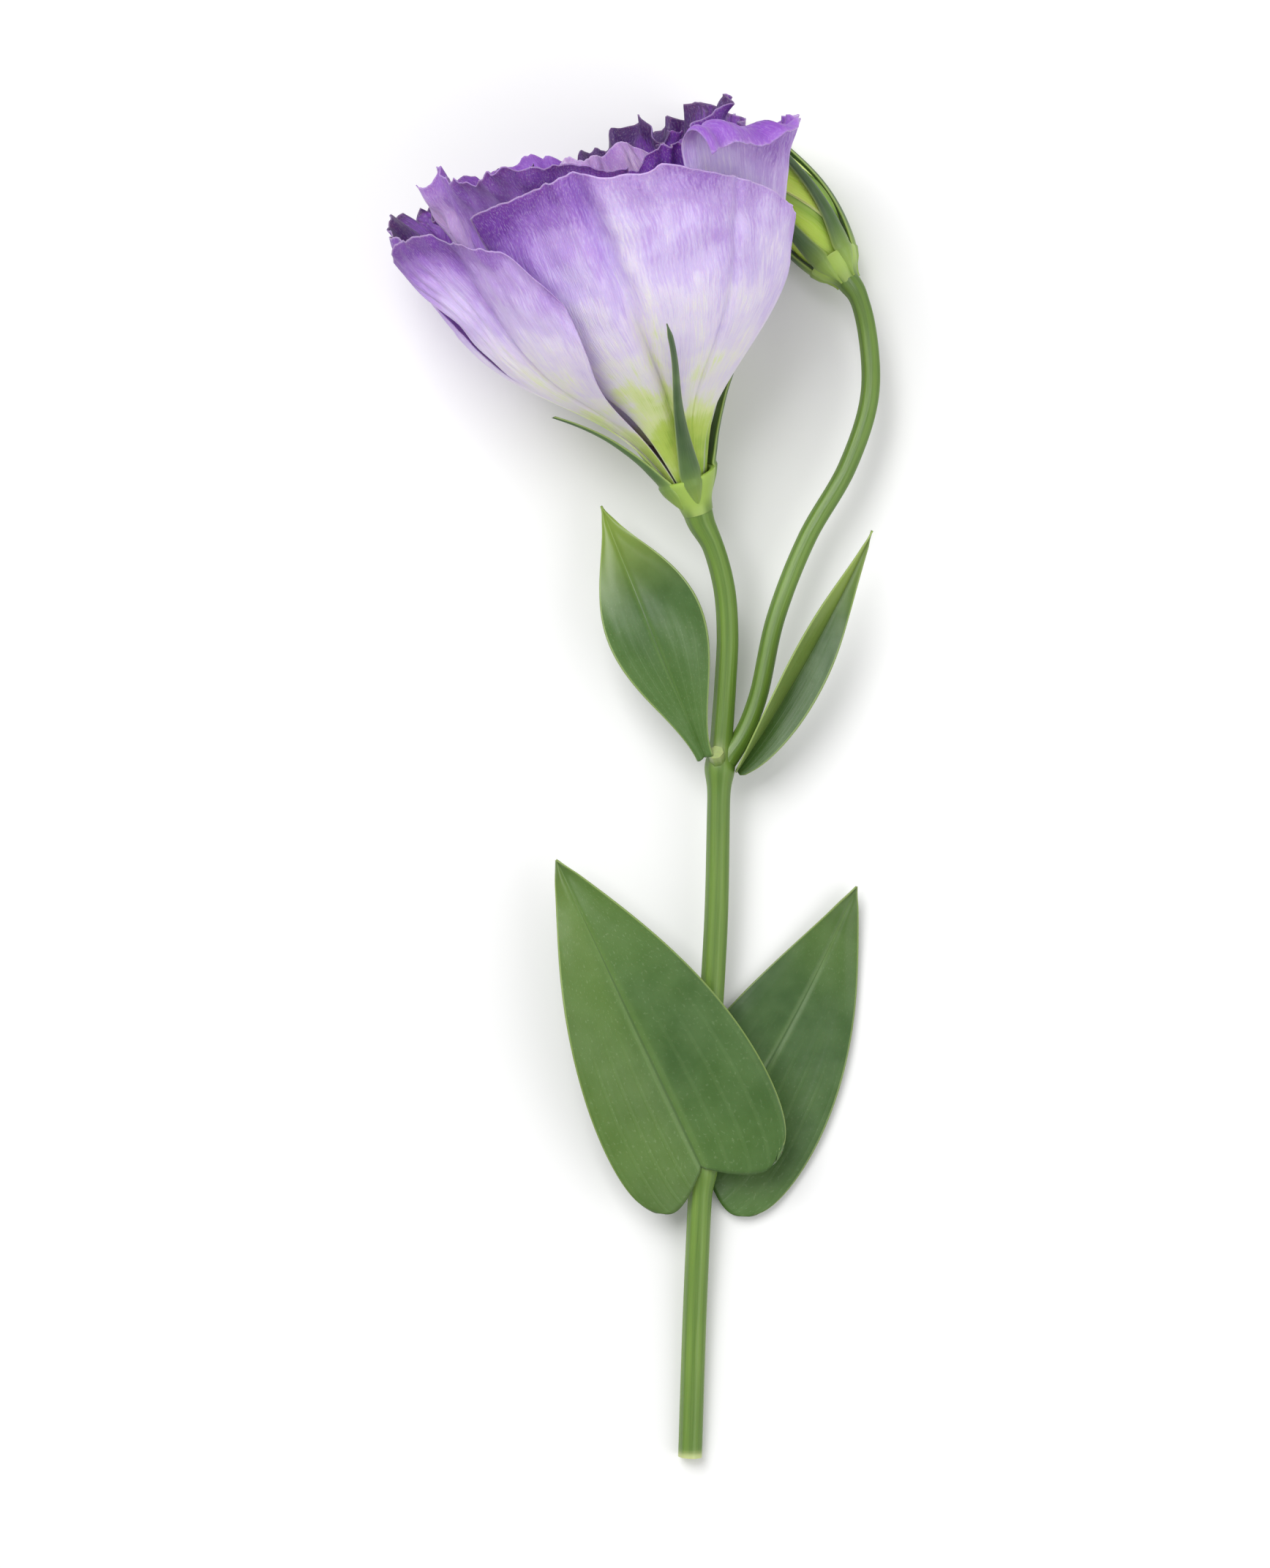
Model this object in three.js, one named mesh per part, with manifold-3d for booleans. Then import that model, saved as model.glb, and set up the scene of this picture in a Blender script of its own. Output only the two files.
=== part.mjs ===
// Lisianthus flower: one cut stem with a double bloom, a twisted bud and two pairs of leaves,
// lying on flat ground. Millimetres, +Z up, +Y along the stem towards the bloom.
// Points are drafted from the middle of the lower stem; the whole flower is then moved
// so that its origin is the middle of its outline, on the ground.
import * as THREE from 'three';
import { mergeVertices } from 'three/addons/utils/BufferGeometryUtils.js';
import Module from 'manifold-3d';

const wasm = await Module();
wasm.setup();

// Driving dimensions
const FLOWER_LENGTH = 231;
const OUTLINE_MIDDLE = new THREE.Vector3(-14, 35.6, 0);
const FIT_GAP = 0.3;
const GROUND_FLAT = 0.25;

const BLOOM_BASE = new THREE.Vector3(-4.5, 85.4, 14);
const BLOOM_AXIS = new THREE.Vector3(-0.303, 0.91, 0.283).normalize();
const BLOOM_RIGHT = new THREE.Vector3(0.949, 0.316, 0).normalize();
const GOBLET = { foot: 2.6, slope: 0.3, swell: 17, waist: 22, softness: 5.5 };
const INNER_LIFT = { rise: 24, over: 60 };
const PETAL_THICKNESS = 0.6;
const CLAW_GAP = 0.35;
const LEAST_ROLL = 0.05;
const CALYX_FOOT = -4;
const SEPAL_THICKNESS = 0.55;
const STIGMA_LOBE = [1.3, 0.9, 1.6];

const STEM_RADIUS = 2.05;
const BUD_STALK_RADIUS = 1.6;
const STUB_RADIUS = 1.3;
const NODE_SWELL = 1.35;
const UPPER_NODE = new THREE.Vector3(0.5, 38.4, 8.4);
const LOWER_NODE = new THREE.Vector3(-2.6, -30.4, 5);
const CUT_END = new THREE.Vector3(-4.5, -80, STEM_RADIUS - GROUND_FLAT);

const BUD_BASE = new THREE.Vector3(21.2, 123, 8.8);
const BUD_TIP = new THREE.Vector3(5.9, 146, 4);
const BUD_LENGTH = 30;
const BUD_RADIUS = 5.4;
const BUD_TURNS = 0.42;
const BUD_OVERLAP = 0.5;
const BUD_FOOT = -2.6;

const LEAF_THICKNESS = 0.7;

const COLOURS = {
  stem: 0x6f9a45,
  calyx: 0x4f7a52,
  leaf: 0x5f8a4c,
  bud: 0xb4cf62,
  outer: 0xcdbde6,
  inner: 0x8a5cc0,
  pistil: 0xa9bf5a,
};

// Small mathematics
const radians = THREE.MathUtils.degToRad;
const smooth = (from, to, x) => THREE.MathUtils.smoothstep(x, from, to);
const mix = THREE.MathUtils.lerp;

// A named mesh with the colour and finish of its slot
function piece(name, geometry, colour, roughness) {
  const material = new THREE.MeshStandardMaterial({ color: colour, roughness, metalness: 0 });
  const mesh = new THREE.Mesh(geometry, material);
  mesh.name = name;
  return mesh;
}

function geometryOf(points, faces) {
  const geometry = new THREE.BufferGeometry();
  geometry.setFromPoints(points);
  geometry.setIndex(faces);
  geometry.computeVertexNormals();
  return geometry;
}

// Joining and cutting of closed geometries
function manifoldOf(geometry) {
  const vertProperties = new Float32Array(geometry.attributes.position.array);
  const triVerts = new Uint32Array(geometry.index.array);
  return new wasm.Manifold(new wasm.Mesh({ numProp: 3, vertProperties, triVerts }));
}

function geometryFrom(manifold) {
  const mesh = manifold.getMesh();
  const geometry = new THREE.BufferGeometry();
  const positions = new Float32Array(mesh.vertProperties);
  geometry.setAttribute('position', new THREE.BufferAttribute(positions, 3));
  geometry.setIndex(new THREE.BufferAttribute(new Uint32Array(mesh.triVerts), 1));
  geometry.computeVertexNormals();
  return geometry;
}

function joined(geometries) {
  const [first, ...others] = geometries.map(manifoldOf);
  return geometryFrom(others.reduce((sum, next) => sum.add(next), first));
}

// The same faces with each corner stored once
function withSharedCorners(geometry) {
  geometry.deleteAttribute('normal');
  geometry.deleteAttribute('uv');
  return mergeVertices(geometry);
}

// What would reach below the ground is cut off flat
function restingOnGround(geometry) {
  const size = 2 * FLOWER_LENGTH;
  const ground = withSharedCorners(new THREE.BoxGeometry(size, size, size)).translate(0, 0, -size / 2);
  return geometryFrom(manifoldOf(geometry).subtract(manifoldOf(ground)));
}

// A thin body on both sides of a surface(u, v) with u from -1 to 1 and v from 0 to 1
function blade(columns, rows, surface, frontDepth, backDepth) {
  const step = 1e-3;
  const front = [];
  const back = [];
  for (let j = 0; j <= rows; j++) {
    for (let i = 0; i <= columns; i++) {
      const u = -1 + (2 * i) / columns;
      const v = j / rows;
      const point = surface(u, v);
      const across = surface(u + step, v).sub(surface(u - step, v));
      const along = surface(u, Math.min(v + step, 1)).sub(surface(u, Math.max(v - step, 0)));
      const normal = across.cross(along).normalize();
      front.push(point.clone().addScaledVector(normal, frontDepth(u, v)));
      back.push(point.clone().addScaledVector(normal, -backDepth(u, v)));
    }
  }
  const count = front.length;
  const at = (i, j) => j * (columns + 1) + i;
  const faces = [];
  for (let j = 0; j < rows; j++) {
    for (let i = 0; i < columns; i++) {
      const [a, b, c, d] = [at(i, j), at(i + 1, j), at(i + 1, j + 1), at(i, j + 1)];
      faces.push(a, b, c, a, c, d);
      faces.push(count + c, count + b, count + a, count + d, count + c, count + a);
    }
  }
  const rim = [];
  for (let i = 0; i < columns; i++) rim.push(at(i, 0));
  for (let j = 0; j < rows; j++) rim.push(at(columns, j));
  for (let i = columns; i > 0; i--) rim.push(at(i, rows));
  for (let j = rows; j > 0; j--) rim.push(at(0, j));
  rim.forEach((p, k) => {
    const q = rim[(k + 1) % rim.length];
    faces.push(q, p, count + p, q, count + p, count + q);
  });
  return geometryOf([...front, ...back], faces);
}

// A closed skin over rings of points, each ring counter-clockwise round the way they follow
function skin(rings) {
  const sides = rings[0].length;
  const points = rings.flat();
  const faces = [];
  for (let k = 0; k < rings.length - 1; k++) {
    for (let i = 0; i < sides; i++) {
      const next = (i + 1) % sides;
      const [a, b, c, d] = [k * sides + i, k * sides + next, (k + 1) * sides + next, (k + 1) * sides + i];
      faces.push(a, b, c, a, c, d);
    }
  }
  const middle = (ring) => ring.reduce((sum, p) => sum.add(p), new THREE.Vector3()).divideScalar(sides);
  const start = points.push(middle(rings[0])) - 1;
  const end = points.push(middle(rings[rings.length - 1])) - 1;
  const last = (rings.length - 1) * sides;
  for (let i = 0; i < sides; i++) {
    const next = (i + 1) % sides;
    faces.push(start, next, i, end, last + i, last + next);
  }
  return geometryOf(points, faces);
}

// A stalk of changing radius along a smooth line through the given points
function stalk(points, radiusAt, steps, sides) {
  const curve = new THREE.CatmullRomCurve3(points, false, 'centripetal');
  const frames = curve.computeFrenetFrames(steps, false);
  const rings = [];
  for (let k = 0; k <= steps; k++) {
    const centre = curve.getPointAt(k / steps);
    const radius = radiusAt(k / steps);
    const ring = [];
    for (let i = 0; i < sides; i++) {
      const angle = (2 * Math.PI * i) / sides;
      const offset = frames.normals[k].clone().multiplyScalar(Math.cos(angle) * radius);
      offset.addScaledVector(frames.binormals[k], Math.sin(angle) * radius);
      ring.push(centre.clone().add(offset));
    }
    rings.push(ring);
  }
  return skin(rings);
}

// A frame at the foot of a bloom or bud: points at a radius, a turn from the front, and a height
function flowerFrame(foot, axis, right) {
  const front = new THREE.Vector3().crossVectors(right, axis);
  const at = (radius, turn, height) => {
    const point = foot.clone().addScaledVector(axis, height);
    point.addScaledVector(front, radius * Math.cos(turn));
    return point.addScaledVector(right, radius * Math.sin(turn));
  };
  const ring = (radius, height, sides) => {
    const turns = Array.from({ length: sides }, (_, i) => (2 * Math.PI * i) / sides);
    return turns.map((turn) => at(radius, turn, height));
  };
  return { at, ring, front, foot, axis };
}

const bloom = flowerFrame(BLOOM_BASE, BLOOM_AXIS, BLOOM_RIGHT);

const budAxis = BUD_TIP.clone().sub(BUD_BASE).normalize();
const budRight = new THREE.Vector3().crossVectors(budAxis, new THREE.Vector3(0, 0, 1)).normalize();
const bud = flowerFrame(BUD_BASE, budAxis, budRight);

// The bloom's body is a goblet: its radius at a height above the foot
function gobletRadius(height) {
  const { foot, slope, swell, waist, softness } = GOBLET;
  return foot + slope * height + swell / (1 + Math.exp((waist - height) / softness));
}

// The bloom lies on its lower side, so the petals there are pressed flat against the ground
const PRESSING = { leastDown: 0.05, innerShare: 0.97, sharpness: 24 };

function pressedRadius(radius, turn, height) {
  const { leastDown, innerShare, sharpness } = PRESSING;
  const down = -Math.cos(turn);
  if (down <= leastDown) return radius;
  const room = BLOOM_BASE.z + height * BLOOM_AXIS.z - PETAL_THICKNESS / 2;
  const reach = room / (bloom.front.z * down);
  const outermost = Math.max(radius, gobletRadius(height) * innerShare);
  return radius / (1 + (outermost / reach) ** sharpness) ** (1 / sharpness);
}

// What all petals share. Widths are shares of a petal's half width, heights are in millimetres.
const PETAL = {
  rowCrowding: 1.4, fringeWaves: [6.3, 14], peakWidth: 0.35, leanWidth: 0.45, leanBetween: [25, 55],
  ruffledFrom: 0.4, foldWaves: 4.5, foldBetween: [12, 40], skewBetween: [2, 9],
  rightRollBetween: [0.2, 0.85],
};

const bump = (x, width) => Math.exp(-((x / width) ** 2));
const twoWaves = (x, [slow, fast], shift) => {
  return Math.sin(slow * x + shift) + 0.7 * Math.sin(fast * x + 2 * shift);
};

// Petals stand in whorls. A petal is a part of a layer of the goblet, between two turns. It starts as a
// narrow claw and widens on each side, mostly with its left edge inside its neighbour and its right edge
// outside the next, and its rim is ruffled and rolled back.
function petalSurface(petal) {
  const middle = radians(petal.turn);
  const topAt = (u) => {
    const drop = petal.drop[u < 0 ? 0 : 1] * Math.abs(u) ** petal.dropPower;
    const [peakAt, peakHeight] = petal.peak;
    const peak = peakHeight * bump(u - peakAt, PETAL.peakWidth);
    return petal.height * (1 - drop) + petal.fringe * twoWaves(u, PETAL.fringeWaves, petal.phase) + peak;
  };
  const rollAt = (u) => {
    const [left, centre, right] = petal.roll.map(radians);
    const leftRoll = mix(left, centre, smooth(...petal.leftRollBetween, u));
    const roll = mix(leftRoll, right, smooth(...PETAL.rightRollBetween, u));
    return Math.abs(roll) < LEAST_ROLL ? LEAST_ROLL : roll;
  };
  return (u, v) => {
    const top = topAt(u);
    const run = petal.start + (top - petal.start) * (1 - (1 - v) ** PETAL.rowCrowding);
    const straight = Math.min(run, top - petal.rollLength);
    const side = u < 0 ? 0 : 1;
    const width = mix(petal.claws[side], petal.spread[side], smooth(...petal.widens[side], run));
    const turn = middle + radians(width) * u;
    const open = gobletRadius(straight);
    const rise = smooth(PETAL.ruffledFrom, 1, run / petal.height);
    const ruffle = petal.ruffle * twoWaves(turn, petal.waves, 1) * rise ** 2;
    const foldWave = Math.sin(PETAL.foldWaves * u + petal.phase);
    const fold = petal.fold * foldWave * smooth(...PETAL.foldBetween, run);
    const skew = petal.skew[side] * smooth(...PETAL.skewBetween, run) * Math.abs(u);
    const layer = petal.layer + skew + (ruffle + fold) / open;
    const lean = petal.lean * bump(u, PETAL.leanWidth) * smooth(...PETAL.leanBetween, run);
    const lift = INNER_LIFT.rise * (1 - petal.layer - skew) * (straight / INNER_LIFT.over) ** 2;
    let radius = layer * open + lean;
    let height = straight + lift;
    if (run > straight) {
      const roll = rollAt(u);
      const rollRadius = petal.rollLength / roll;
      const slant = Math.atan(GOBLET.slope * layer);
      const angle = slant + (run - straight) / rollRadius;
      radius += rollRadius * (Math.cos(slant) - Math.cos(angle));
      height += rollRadius * (Math.sin(angle) - Math.sin(slant));
    }
    return bloom.at(pressedRadius(radius, turn, height), turn, height);
  };
}

// The five outer petals, from the front one round to the right. Each pair of values is for the petal's
// left and right side: spread is its half width in degrees, widens the run over which it gets there,
// skew how far that edge lies inside or outside its layer, and drop how much lower the rim ends. Peak is
// where the rim stands tallest, and roll is how far it turns back at left, middle and right.
const OUTER_PETALS = [
  {
    place: 'front', turn: 16, spread: [57, 62], height: 59, drop: [0.02, 0.33], dropPower: 1.3,
    peak: [-0.42, 3.5], roll: [8, 16, 14], phase: 0.4,
  },
  {
    place: 'right', turn: 92, spread: [61, 56], height: 54, drop: [-0.12, 0.12], dropPower: 1.2,
    peak: [-0.8, 8], roll: [170, 14, 12], leftRollBetween: [-0.75, -0.3], rollLength: 11, layer: 0.9,
    lean: 2.5, phase: 2,
  },
  {
    place: 'lower_right', turn: 158, spread: [52, 52], height: 55, drop: [0.05, 0.12], peak: [-0.2, 1],
    roll: [10, 40, 45], phase: 3.2,
  },
  {
    place: 'lower_left', turn: 222, spread: [54, 50], widens: [[8, 37], [34, 56]], height: 57,
    drop: [0.08, 0.04], peak: [0.8, 0.5], roll: [35, 45, -15], phase: 4.1, layer: 0.93,
    skew: [-0.09, 0.04], clawShare: 0.84,
  },
  {
    place: 'left', turn: 311, spread: [26, 28], widens: [[42, 56], [8, 37]], height: 56.5,
    drop: [0.02, 0.22], dropPower: 4.5, peak: [-0.3, 3], roll: [5, 12, 14], phase: 5.3,
    skew: [0.06, 0.09], clawShare: 0.2,
  },
];
const OUTER = {
  layer: 0.94, skew: [-0.09, 0.09], start: 1.5, widens: [[8, 37], [8, 37]], dropPower: 2.6,
  leftRollBetween: [-0.5, 0.1], rollLength: 8, lean: 0, ruffle: 0.9, waves: [6, 11], fringe: 0.45,
  fold: 0.45, clawShare: 0.5,
};

// The whorls inside them, each petal with its height, roll, peak, outward lean and skew, from the
// first turn. Own holds what is different in one petal, by its number.
const INNER = {
  drop: [0.12, 0.12], dropPower: 2.6, leftRollBetween: [-0.5, 0.1], spread: [52, 52], clawShare: 0.5,
};
const INNER_WHORLS = [
  {
    name: 'middle_petal', firstTurn: 22, columns: 11, heights: [55, 55, 53, 54, 60],
    rolls: [25, 35, 40, 50, 30], peaks: [0.5, 1, 1, 1, 0.5], leans: [0, 0, 1, 1, 0],
    skews: [[-0.055, 0.055], [-0.055, 0.055], [-0.055, 0.055], [-0.055, -0.055], [0.075, 0.055]],
    layer: 0.64, start: 10, widens: [[13, 38], [13, 38]], rollLength: 9, ruffle: 1.3, waves: [7, 12],
    fringe: 0.7, fold: 0.5,
    own: { 1: { spread: [42, 52] }, 5: { spread: [38, 62], drop: [0, 0.04] } },
  },
  {
    name: 'inner_petal', firstTurn: 25, columns: 10, heights: [53, 50, 48, 51, 52],
    rolls: [-30, 30, 45, 60, 80], peaks: [0.5, 1, 0.5, 1.5, 1], leans: [-1, 1, 0, 1.5, 0],
    skews: Array(5).fill([-0.045, 0.045]),
    layer: 0.39, start: 11, widens: [[17, 40], [17, 40]], rollLength: 8, ruffle: 1.2, waves: [6, 11],
    fringe: 0.7, fold: 0.4,
    own: { 1: { drop: [0, 0.25], ruffle: 0.6 } },
  },
  {
    name: 'heart_petal', firstTurn: 70, columns: 9, heights: [46, 44, 46],
    rolls: [-30, 40, -20], peaks: [0.5, 1, 0.5], leans: [0, 0, 0], skews: Array(3).fill([-0.04, 0.04]),
    layer: 0.19, start: 14, widens: [[20, 40], [20, 40]], rollLength: 7, ruffle: 0.8, waves: [4, 7],
    fringe: 0.7, fold: 0.2, spread: [70, 70], own: {},
  },
];

// At its foot a petal fills its share of the way to the next petal and what the one before it leaves,
// less a gap
function withClaws(petals) {
  return petals.map((petal, k) => {
    const before = petals[(k + petals.length - 1) % petals.length];
    const after = petals[(k + 1) % petals.length];
    const toBefore = ((petal.turn - before.turn + 360) % 360) * (1 - before.clawShare);
    const toAfter = ((after.turn - petal.turn + 360) % 360) * petal.clawShare;
    const gap = THREE.MathUtils.radToDeg(CLAW_GAP / (petal.layer * gobletRadius(petal.start)));
    return { ...petal, claws: [toBefore - gap / 2, toAfter - gap / 2] };
  });
}

function petalPiece(name, petal, columns, rows, colour) {
  const half = () => PETAL_THICKNESS / 2;
  const geometry = blade(columns, rows, petalSurface(petal), half, half);
  return piece(name, restingOnGround(geometry), colour, 0.6);
}

function outerPetals() {
  const petals = OUTER_PETALS.map((own) => ({ ...OUTER, ...own }));
  return withClaws(petals).map((petal) =>
    petalPiece(`outer_petal_${petal.place}`, petal, 13, 9, COLOURS.outer),
  );
}

function innerPetals() {
  return INNER_WHORLS.flatMap((whorl) => {
    const petals = whorl.heights.map((height, k) => {
      const turn = (whorl.firstTurn + (360 / whorl.heights.length) * k) % 360;
      const peak = [0.3 * Math.cos(2 * k), whorl.peaks[k]];
      const full = whorl.rolls[k];
      const roll = full < 0 ? [full, full, 0] : [0, full, 0.8 * full];
      const place = { turn, height, peak, roll, lean: whorl.leans[k], skew: whorl.skews[k], phase: 1.3 * k };
      return { ...INNER, ...whorl, ...place, ...whorl.own[k + 1] };
    });
    return withClaws(petals).map((petal, k) =>
      petalPiece(`${whorl.name}_${k + 1}`, petal, whorl.columns, 7, COLOURS.inner),
    );
  });
}

// A cup between two profiles of [radius, height] pairs, outside going up and inside coming down
function cup(frame, profile, sides) {
  return skin(profile.map(([radius, height]) => frame.ring(radius, height, sides)));
}

// A sepal with a keel down its outer face, broad at its root and soon narrow
function sepal(spec) {
  const surface = (u, v) => {
    const height = mix(spec.from, spec.to, v);
    const broad = mix(spec.tipHalfWidth, spec.rootHalfWidth, (1 - v) ** 3);
    const halfWidth = broad + 0.5 * (1 - v);
    const radius = spec.radiusAt(height, v);
    const turn = radians(spec.turn) + (u * halfWidth) / radius;
    return spec.point(radius, turn, height);
  };
  const half = SEPAL_THICKNESS / 2;
  const keel = (u, v) => spec.keel * smooth(0, 0.2, v) * (1 - 0.7 * v) * (1 - Math.abs(u)) + half;
  return blade(4, 7, surface, keel, () => half);
}

// Turn, height of the tip and how far the tip stands off the petals
const BLOOM_SEPALS = [
  [7, 35, 0.3],
  [110, 31, 0.5],
  [165, 25, 0.2],
  [229, 25, 0.2],
  [301, 22, 2],
];

function bloomCalyx() {
  const wall = 0.8;
  const clear = PETAL_THICKNESS / 2 + FIT_GAP;
  const inside = (height) => OUTER.layer * gobletRadius(height) + clear;
  const outside = (height) => inside(height) + wall;
  const profile = [
    [2.6, CALYX_FOOT], [3, -2.2], [3.8, -0.4], [outside(1), 1], [outside(2.8), 2.8],
    [inside(2.8), 2.8], [inside(1), 1], [1.8, 0.7],
  ];
  const point = (radius, angle, height) => bloom.at(pressedRadius(radius, angle, height), angle, height);
  const sepals = BLOOM_SEPALS.map(([turn, to, standOff]) => {
    const radiusAt = (height, v) => {
      const outermost = OUTER.layer + OUTER.skew[1] * smooth(3, 12, height);
      const away = clear + 0.3 + 0.3 * smooth(2, 6, height) + standOff * v ** 3;
      return outermost * gobletRadius(height) + away;
    };
    return sepal({
      turn, from: -1.8, to, rootHalfWidth: 2.7, tipHalfWidth: 0.45, keel: 0.8, radiusAt, point,
    });
  });
  return piece('bloom_calyx', joined([cup(bloom, profile, 15), ...sepals]), COLOURS.calyx, 0.55);
}

// Ovary, style and a stigma of two rounded lobes
function pistil() {
  const profile = [
    [0.9, 1.6], [1.9, 3], [2.1, 6], [1.9, 9.5], [0.9, 12], [0.5, 13.5], [0.5, 22], [0.8, 23.5],
    [0.4, 24.5],
  ];
  const column = cup(bloom, profile, 10);
  const lobes = [1, -1].map((side) => {
    const lobe = new THREE.IcosahedronGeometry(1, 1);
    const centre = bloom.at(side * 0.9, radians(90), 24.6);
    return withSharedCorners(lobe.scale(...STIGMA_LOBE)).translate(centre.x, centre.y, centre.z);
  });
  return piece('pistil', joined([column, ...lobes]), COLOURS.pistil, 0.5);
}

// The bud is a spindle whose five petals are rolled round each other
function budRadius(height) {
  const along = Math.max(height, 0) / BUD_LENGTH;
  return 2 + (BUD_RADIUS - 2) * Math.sin(Math.PI * Math.min(along * 1.06, 1) ** 0.85) - 0.5 * along;
}

function budPetals() {
  const petals = 5;
  const perPetal = 5;
  const sides = petals * perPetal;
  const steps = 13;
  const rings = [];
  for (let k = 0; k <= steps; k++) {
    const height = mix(0.8, BUD_LENGTH, k / steps);
    const ring = [];
    for (let i = 0; i < sides; i++) {
      const edge = (i % perPetal) / perPetal;
      const turn = (2 * Math.PI * i) / sides - 2 * Math.PI * BUD_TURNS * (height / BUD_LENGTH);
      const overlap = BUD_OVERLAP * (0.5 - edge) * smooth(0, 6, height);
      const crumple = 0.35 * Math.cos(i * 1.9) * smooth(26, 30, height);
      ring.push(bud.at(budRadius(height) + overlap + crumple, turn, height));
    }
    rings.push(ring);
  }
  return piece('bud_petals', skin(rings), COLOURS.bud, 0.5);
}

function budCalyx() {
  const wall = 0.7;
  const inside = (height) => budRadius(height) + BUD_OVERLAP / 2 + FIT_GAP;
  const outside = (height) => inside(height) + wall;
  const profile = [
    [1.9, BUD_FOOT], [2.3, -1.2], [outside(0.8), 0.8], [outside(2.6), 2.6],
    [inside(2.6), 2.6], [inside(0.8), 0.8], [1.2, 0.3],
  ];
  const sepals = [36, 108, 180, 252, 324].map((turn, k) => {
    const radiusAt = (height, v) => inside(height) + 0.32 + (0.3 + 0.2 * (k % 3)) * v ** 4;
    const to = 26 + (k % 2) * 2;
    return sepal({
      turn, from: -0.8, to, rootHalfWidth: 2.2, tipHalfWidth: 0.45, keel: 0.7, radiusAt, point: bud.at,
    });
  });
  const body = joined([cup(bud, profile, 15), ...sepals]);
  return piece('bud_calyx', restingOnGround(body), COLOURS.calyx, 0.55);
}

// The stem grew as one piece: lower stem, both nodes, the bloom's and the bud's stalk, a cut stub
function stem() {
  const bloomEnd = bloom.at(0, 0, CALYX_FOOT - FIT_GAP);
  const trunkPoints = [
    CUT_END,
    new THREE.Vector3(-3.7, -55, 3.2),
    LOWER_NODE,
    new THREE.Vector3(-1.4, -10, 5.8),
    new THREE.Vector3(-0.1, 12.5, 6.9),
    UPPER_NODE,
    new THREE.Vector3(1.4, 52, 9.3),
    new THREE.Vector3(1.8, 61, 10),
    new THREE.Vector3(1.2, 69, 10.8),
    new THREE.Vector3(-0.7, 76, 11.7),
    bloomEnd.clone().addScaledVector(BLOOM_AXIS, -1.5),
    bloomEnd,
  ];
  const nodes = [LOWER_NODE, UPPER_NODE];
  const trunkCurve = new THREE.CatmullRomCurve3(trunkPoints, false, 'centripetal');
  const trunkRadius = (t) => {
    const here = trunkCurve.getPointAt(t);
    const swell = nodes.reduce((most, node) => {
      return Math.max(most, Math.exp(-((here.distanceTo(node) / 2.6) ** 2)));
    }, 0);
    const taper = mix(STEM_RADIUS, 1.85, smooth(0.5, 0.9, t));
    const flare = mix(1, 1.36, smooth(0.955, 1, t));
    return taper * flare * (1 + (NODE_SWELL - 1) * swell);
  };
  const budEnd = bud.at(0, 0, BUD_FOOT - FIT_GAP);
  const budStalkPoints = [
    UPPER_NODE,
    new THREE.Vector3(4.2, 43.5, 8.6),
    new THREE.Vector3(6.9, 50.1, 8.8),
    new THREE.Vector3(10, 63.8, 9),
    new THREE.Vector3(15.4, 77.6, 9.1),
    new THREE.Vector3(22.2, 89.6, 9.2),
    new THREE.Vector3(26, 101.6, 9.3),
    new THREE.Vector3(25.6, 112.5, 9.3),
    budEnd.clone().addScaledVector(budAxis, -2),
    budEnd,
  ];
  const stubPoints = [UPPER_NODE, new THREE.Vector3(-0.1, 40.4, 11.2), new THREE.Vector3(-0.3, 41, 12)];
  const pieces = [
    stalk(trunkPoints, trunkRadius, 48, 10),
    stalk(budStalkPoints, (t) => mix(BUD_STALK_RADIUS, 2, smooth(0.95, 1, t)), 26, 8),
    stalk(stubPoints, () => STUB_RADIUS, 2, 8),
  ];
  return piece('stem', restingOnGround(joined(pieces)), COLOURS.stem, 0.5);
}

// A leaf along a bowed midrib, folded in a V and rounded into two lobes at its base
function leafPiece(name, leaf) {
  const middle = leaf.base.clone().lerp(leaf.tip, 0.5).add(leaf.bow);
  const midrib = new THREE.QuadraticBezierCurve3(leaf.base, middle, leaf.tip);
  const outline = (v) => (leaf.foot + (1 - leaf.foot) * v ** leaf.belly) * (1 - v) ** leaf.taper;
  const widest = Math.max(...Array.from({ length: 21 }, (_, i) => outline(i / 20)));
  const widthAt = (v) => 0.4 + (leaf.halfWidth * outline(v) * (1 - 0.3 * v ** 5)) / widest;
  const surface = (u, v) => {
    const tangent = midrib.getTangent(THREE.MathUtils.clamp(v, 0, 1));
    const normal = new THREE.Vector3(0, 0, 1).addScaledVector(tangent, -tangent.z).normalize();
    normal.applyAxisAngle(tangent, radians(leaf.roll));
    const side = new THREE.Vector3().crossVectors(tangent, normal);
    const fold = radians(mix(leaf.fold, leaf.fold * 0.4, v));
    const crease = Math.sqrt(u * u + 0.01) - 0.1;
    const half = widthAt(v) * (u < 0 ? leaf.leftShare : 1);
    const lobe = leaf.lobe * Math.abs(u) ** 0.8 * (1 - 0.7 * u ** 4) * (1 - v) ** 4;
    const wave = leaf.wave * Math.sin(7 * v + 2 * u + leaf.phase) * u * u;
    return midrib
      .getPoint(v)
      .addScaledVector(tangent, -lobe)
      .addScaledVector(side, half * u * Math.cos(fold))
      .addScaledVector(normal, half * crease * Math.sin(fold) + wave);
  };
  const half = () => LEAF_THICKNESS / 2;
  return piece(name, restingOnGround(blade(8, 11, surface, half, half)), COLOURS.leaf, 0.55);
}

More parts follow.
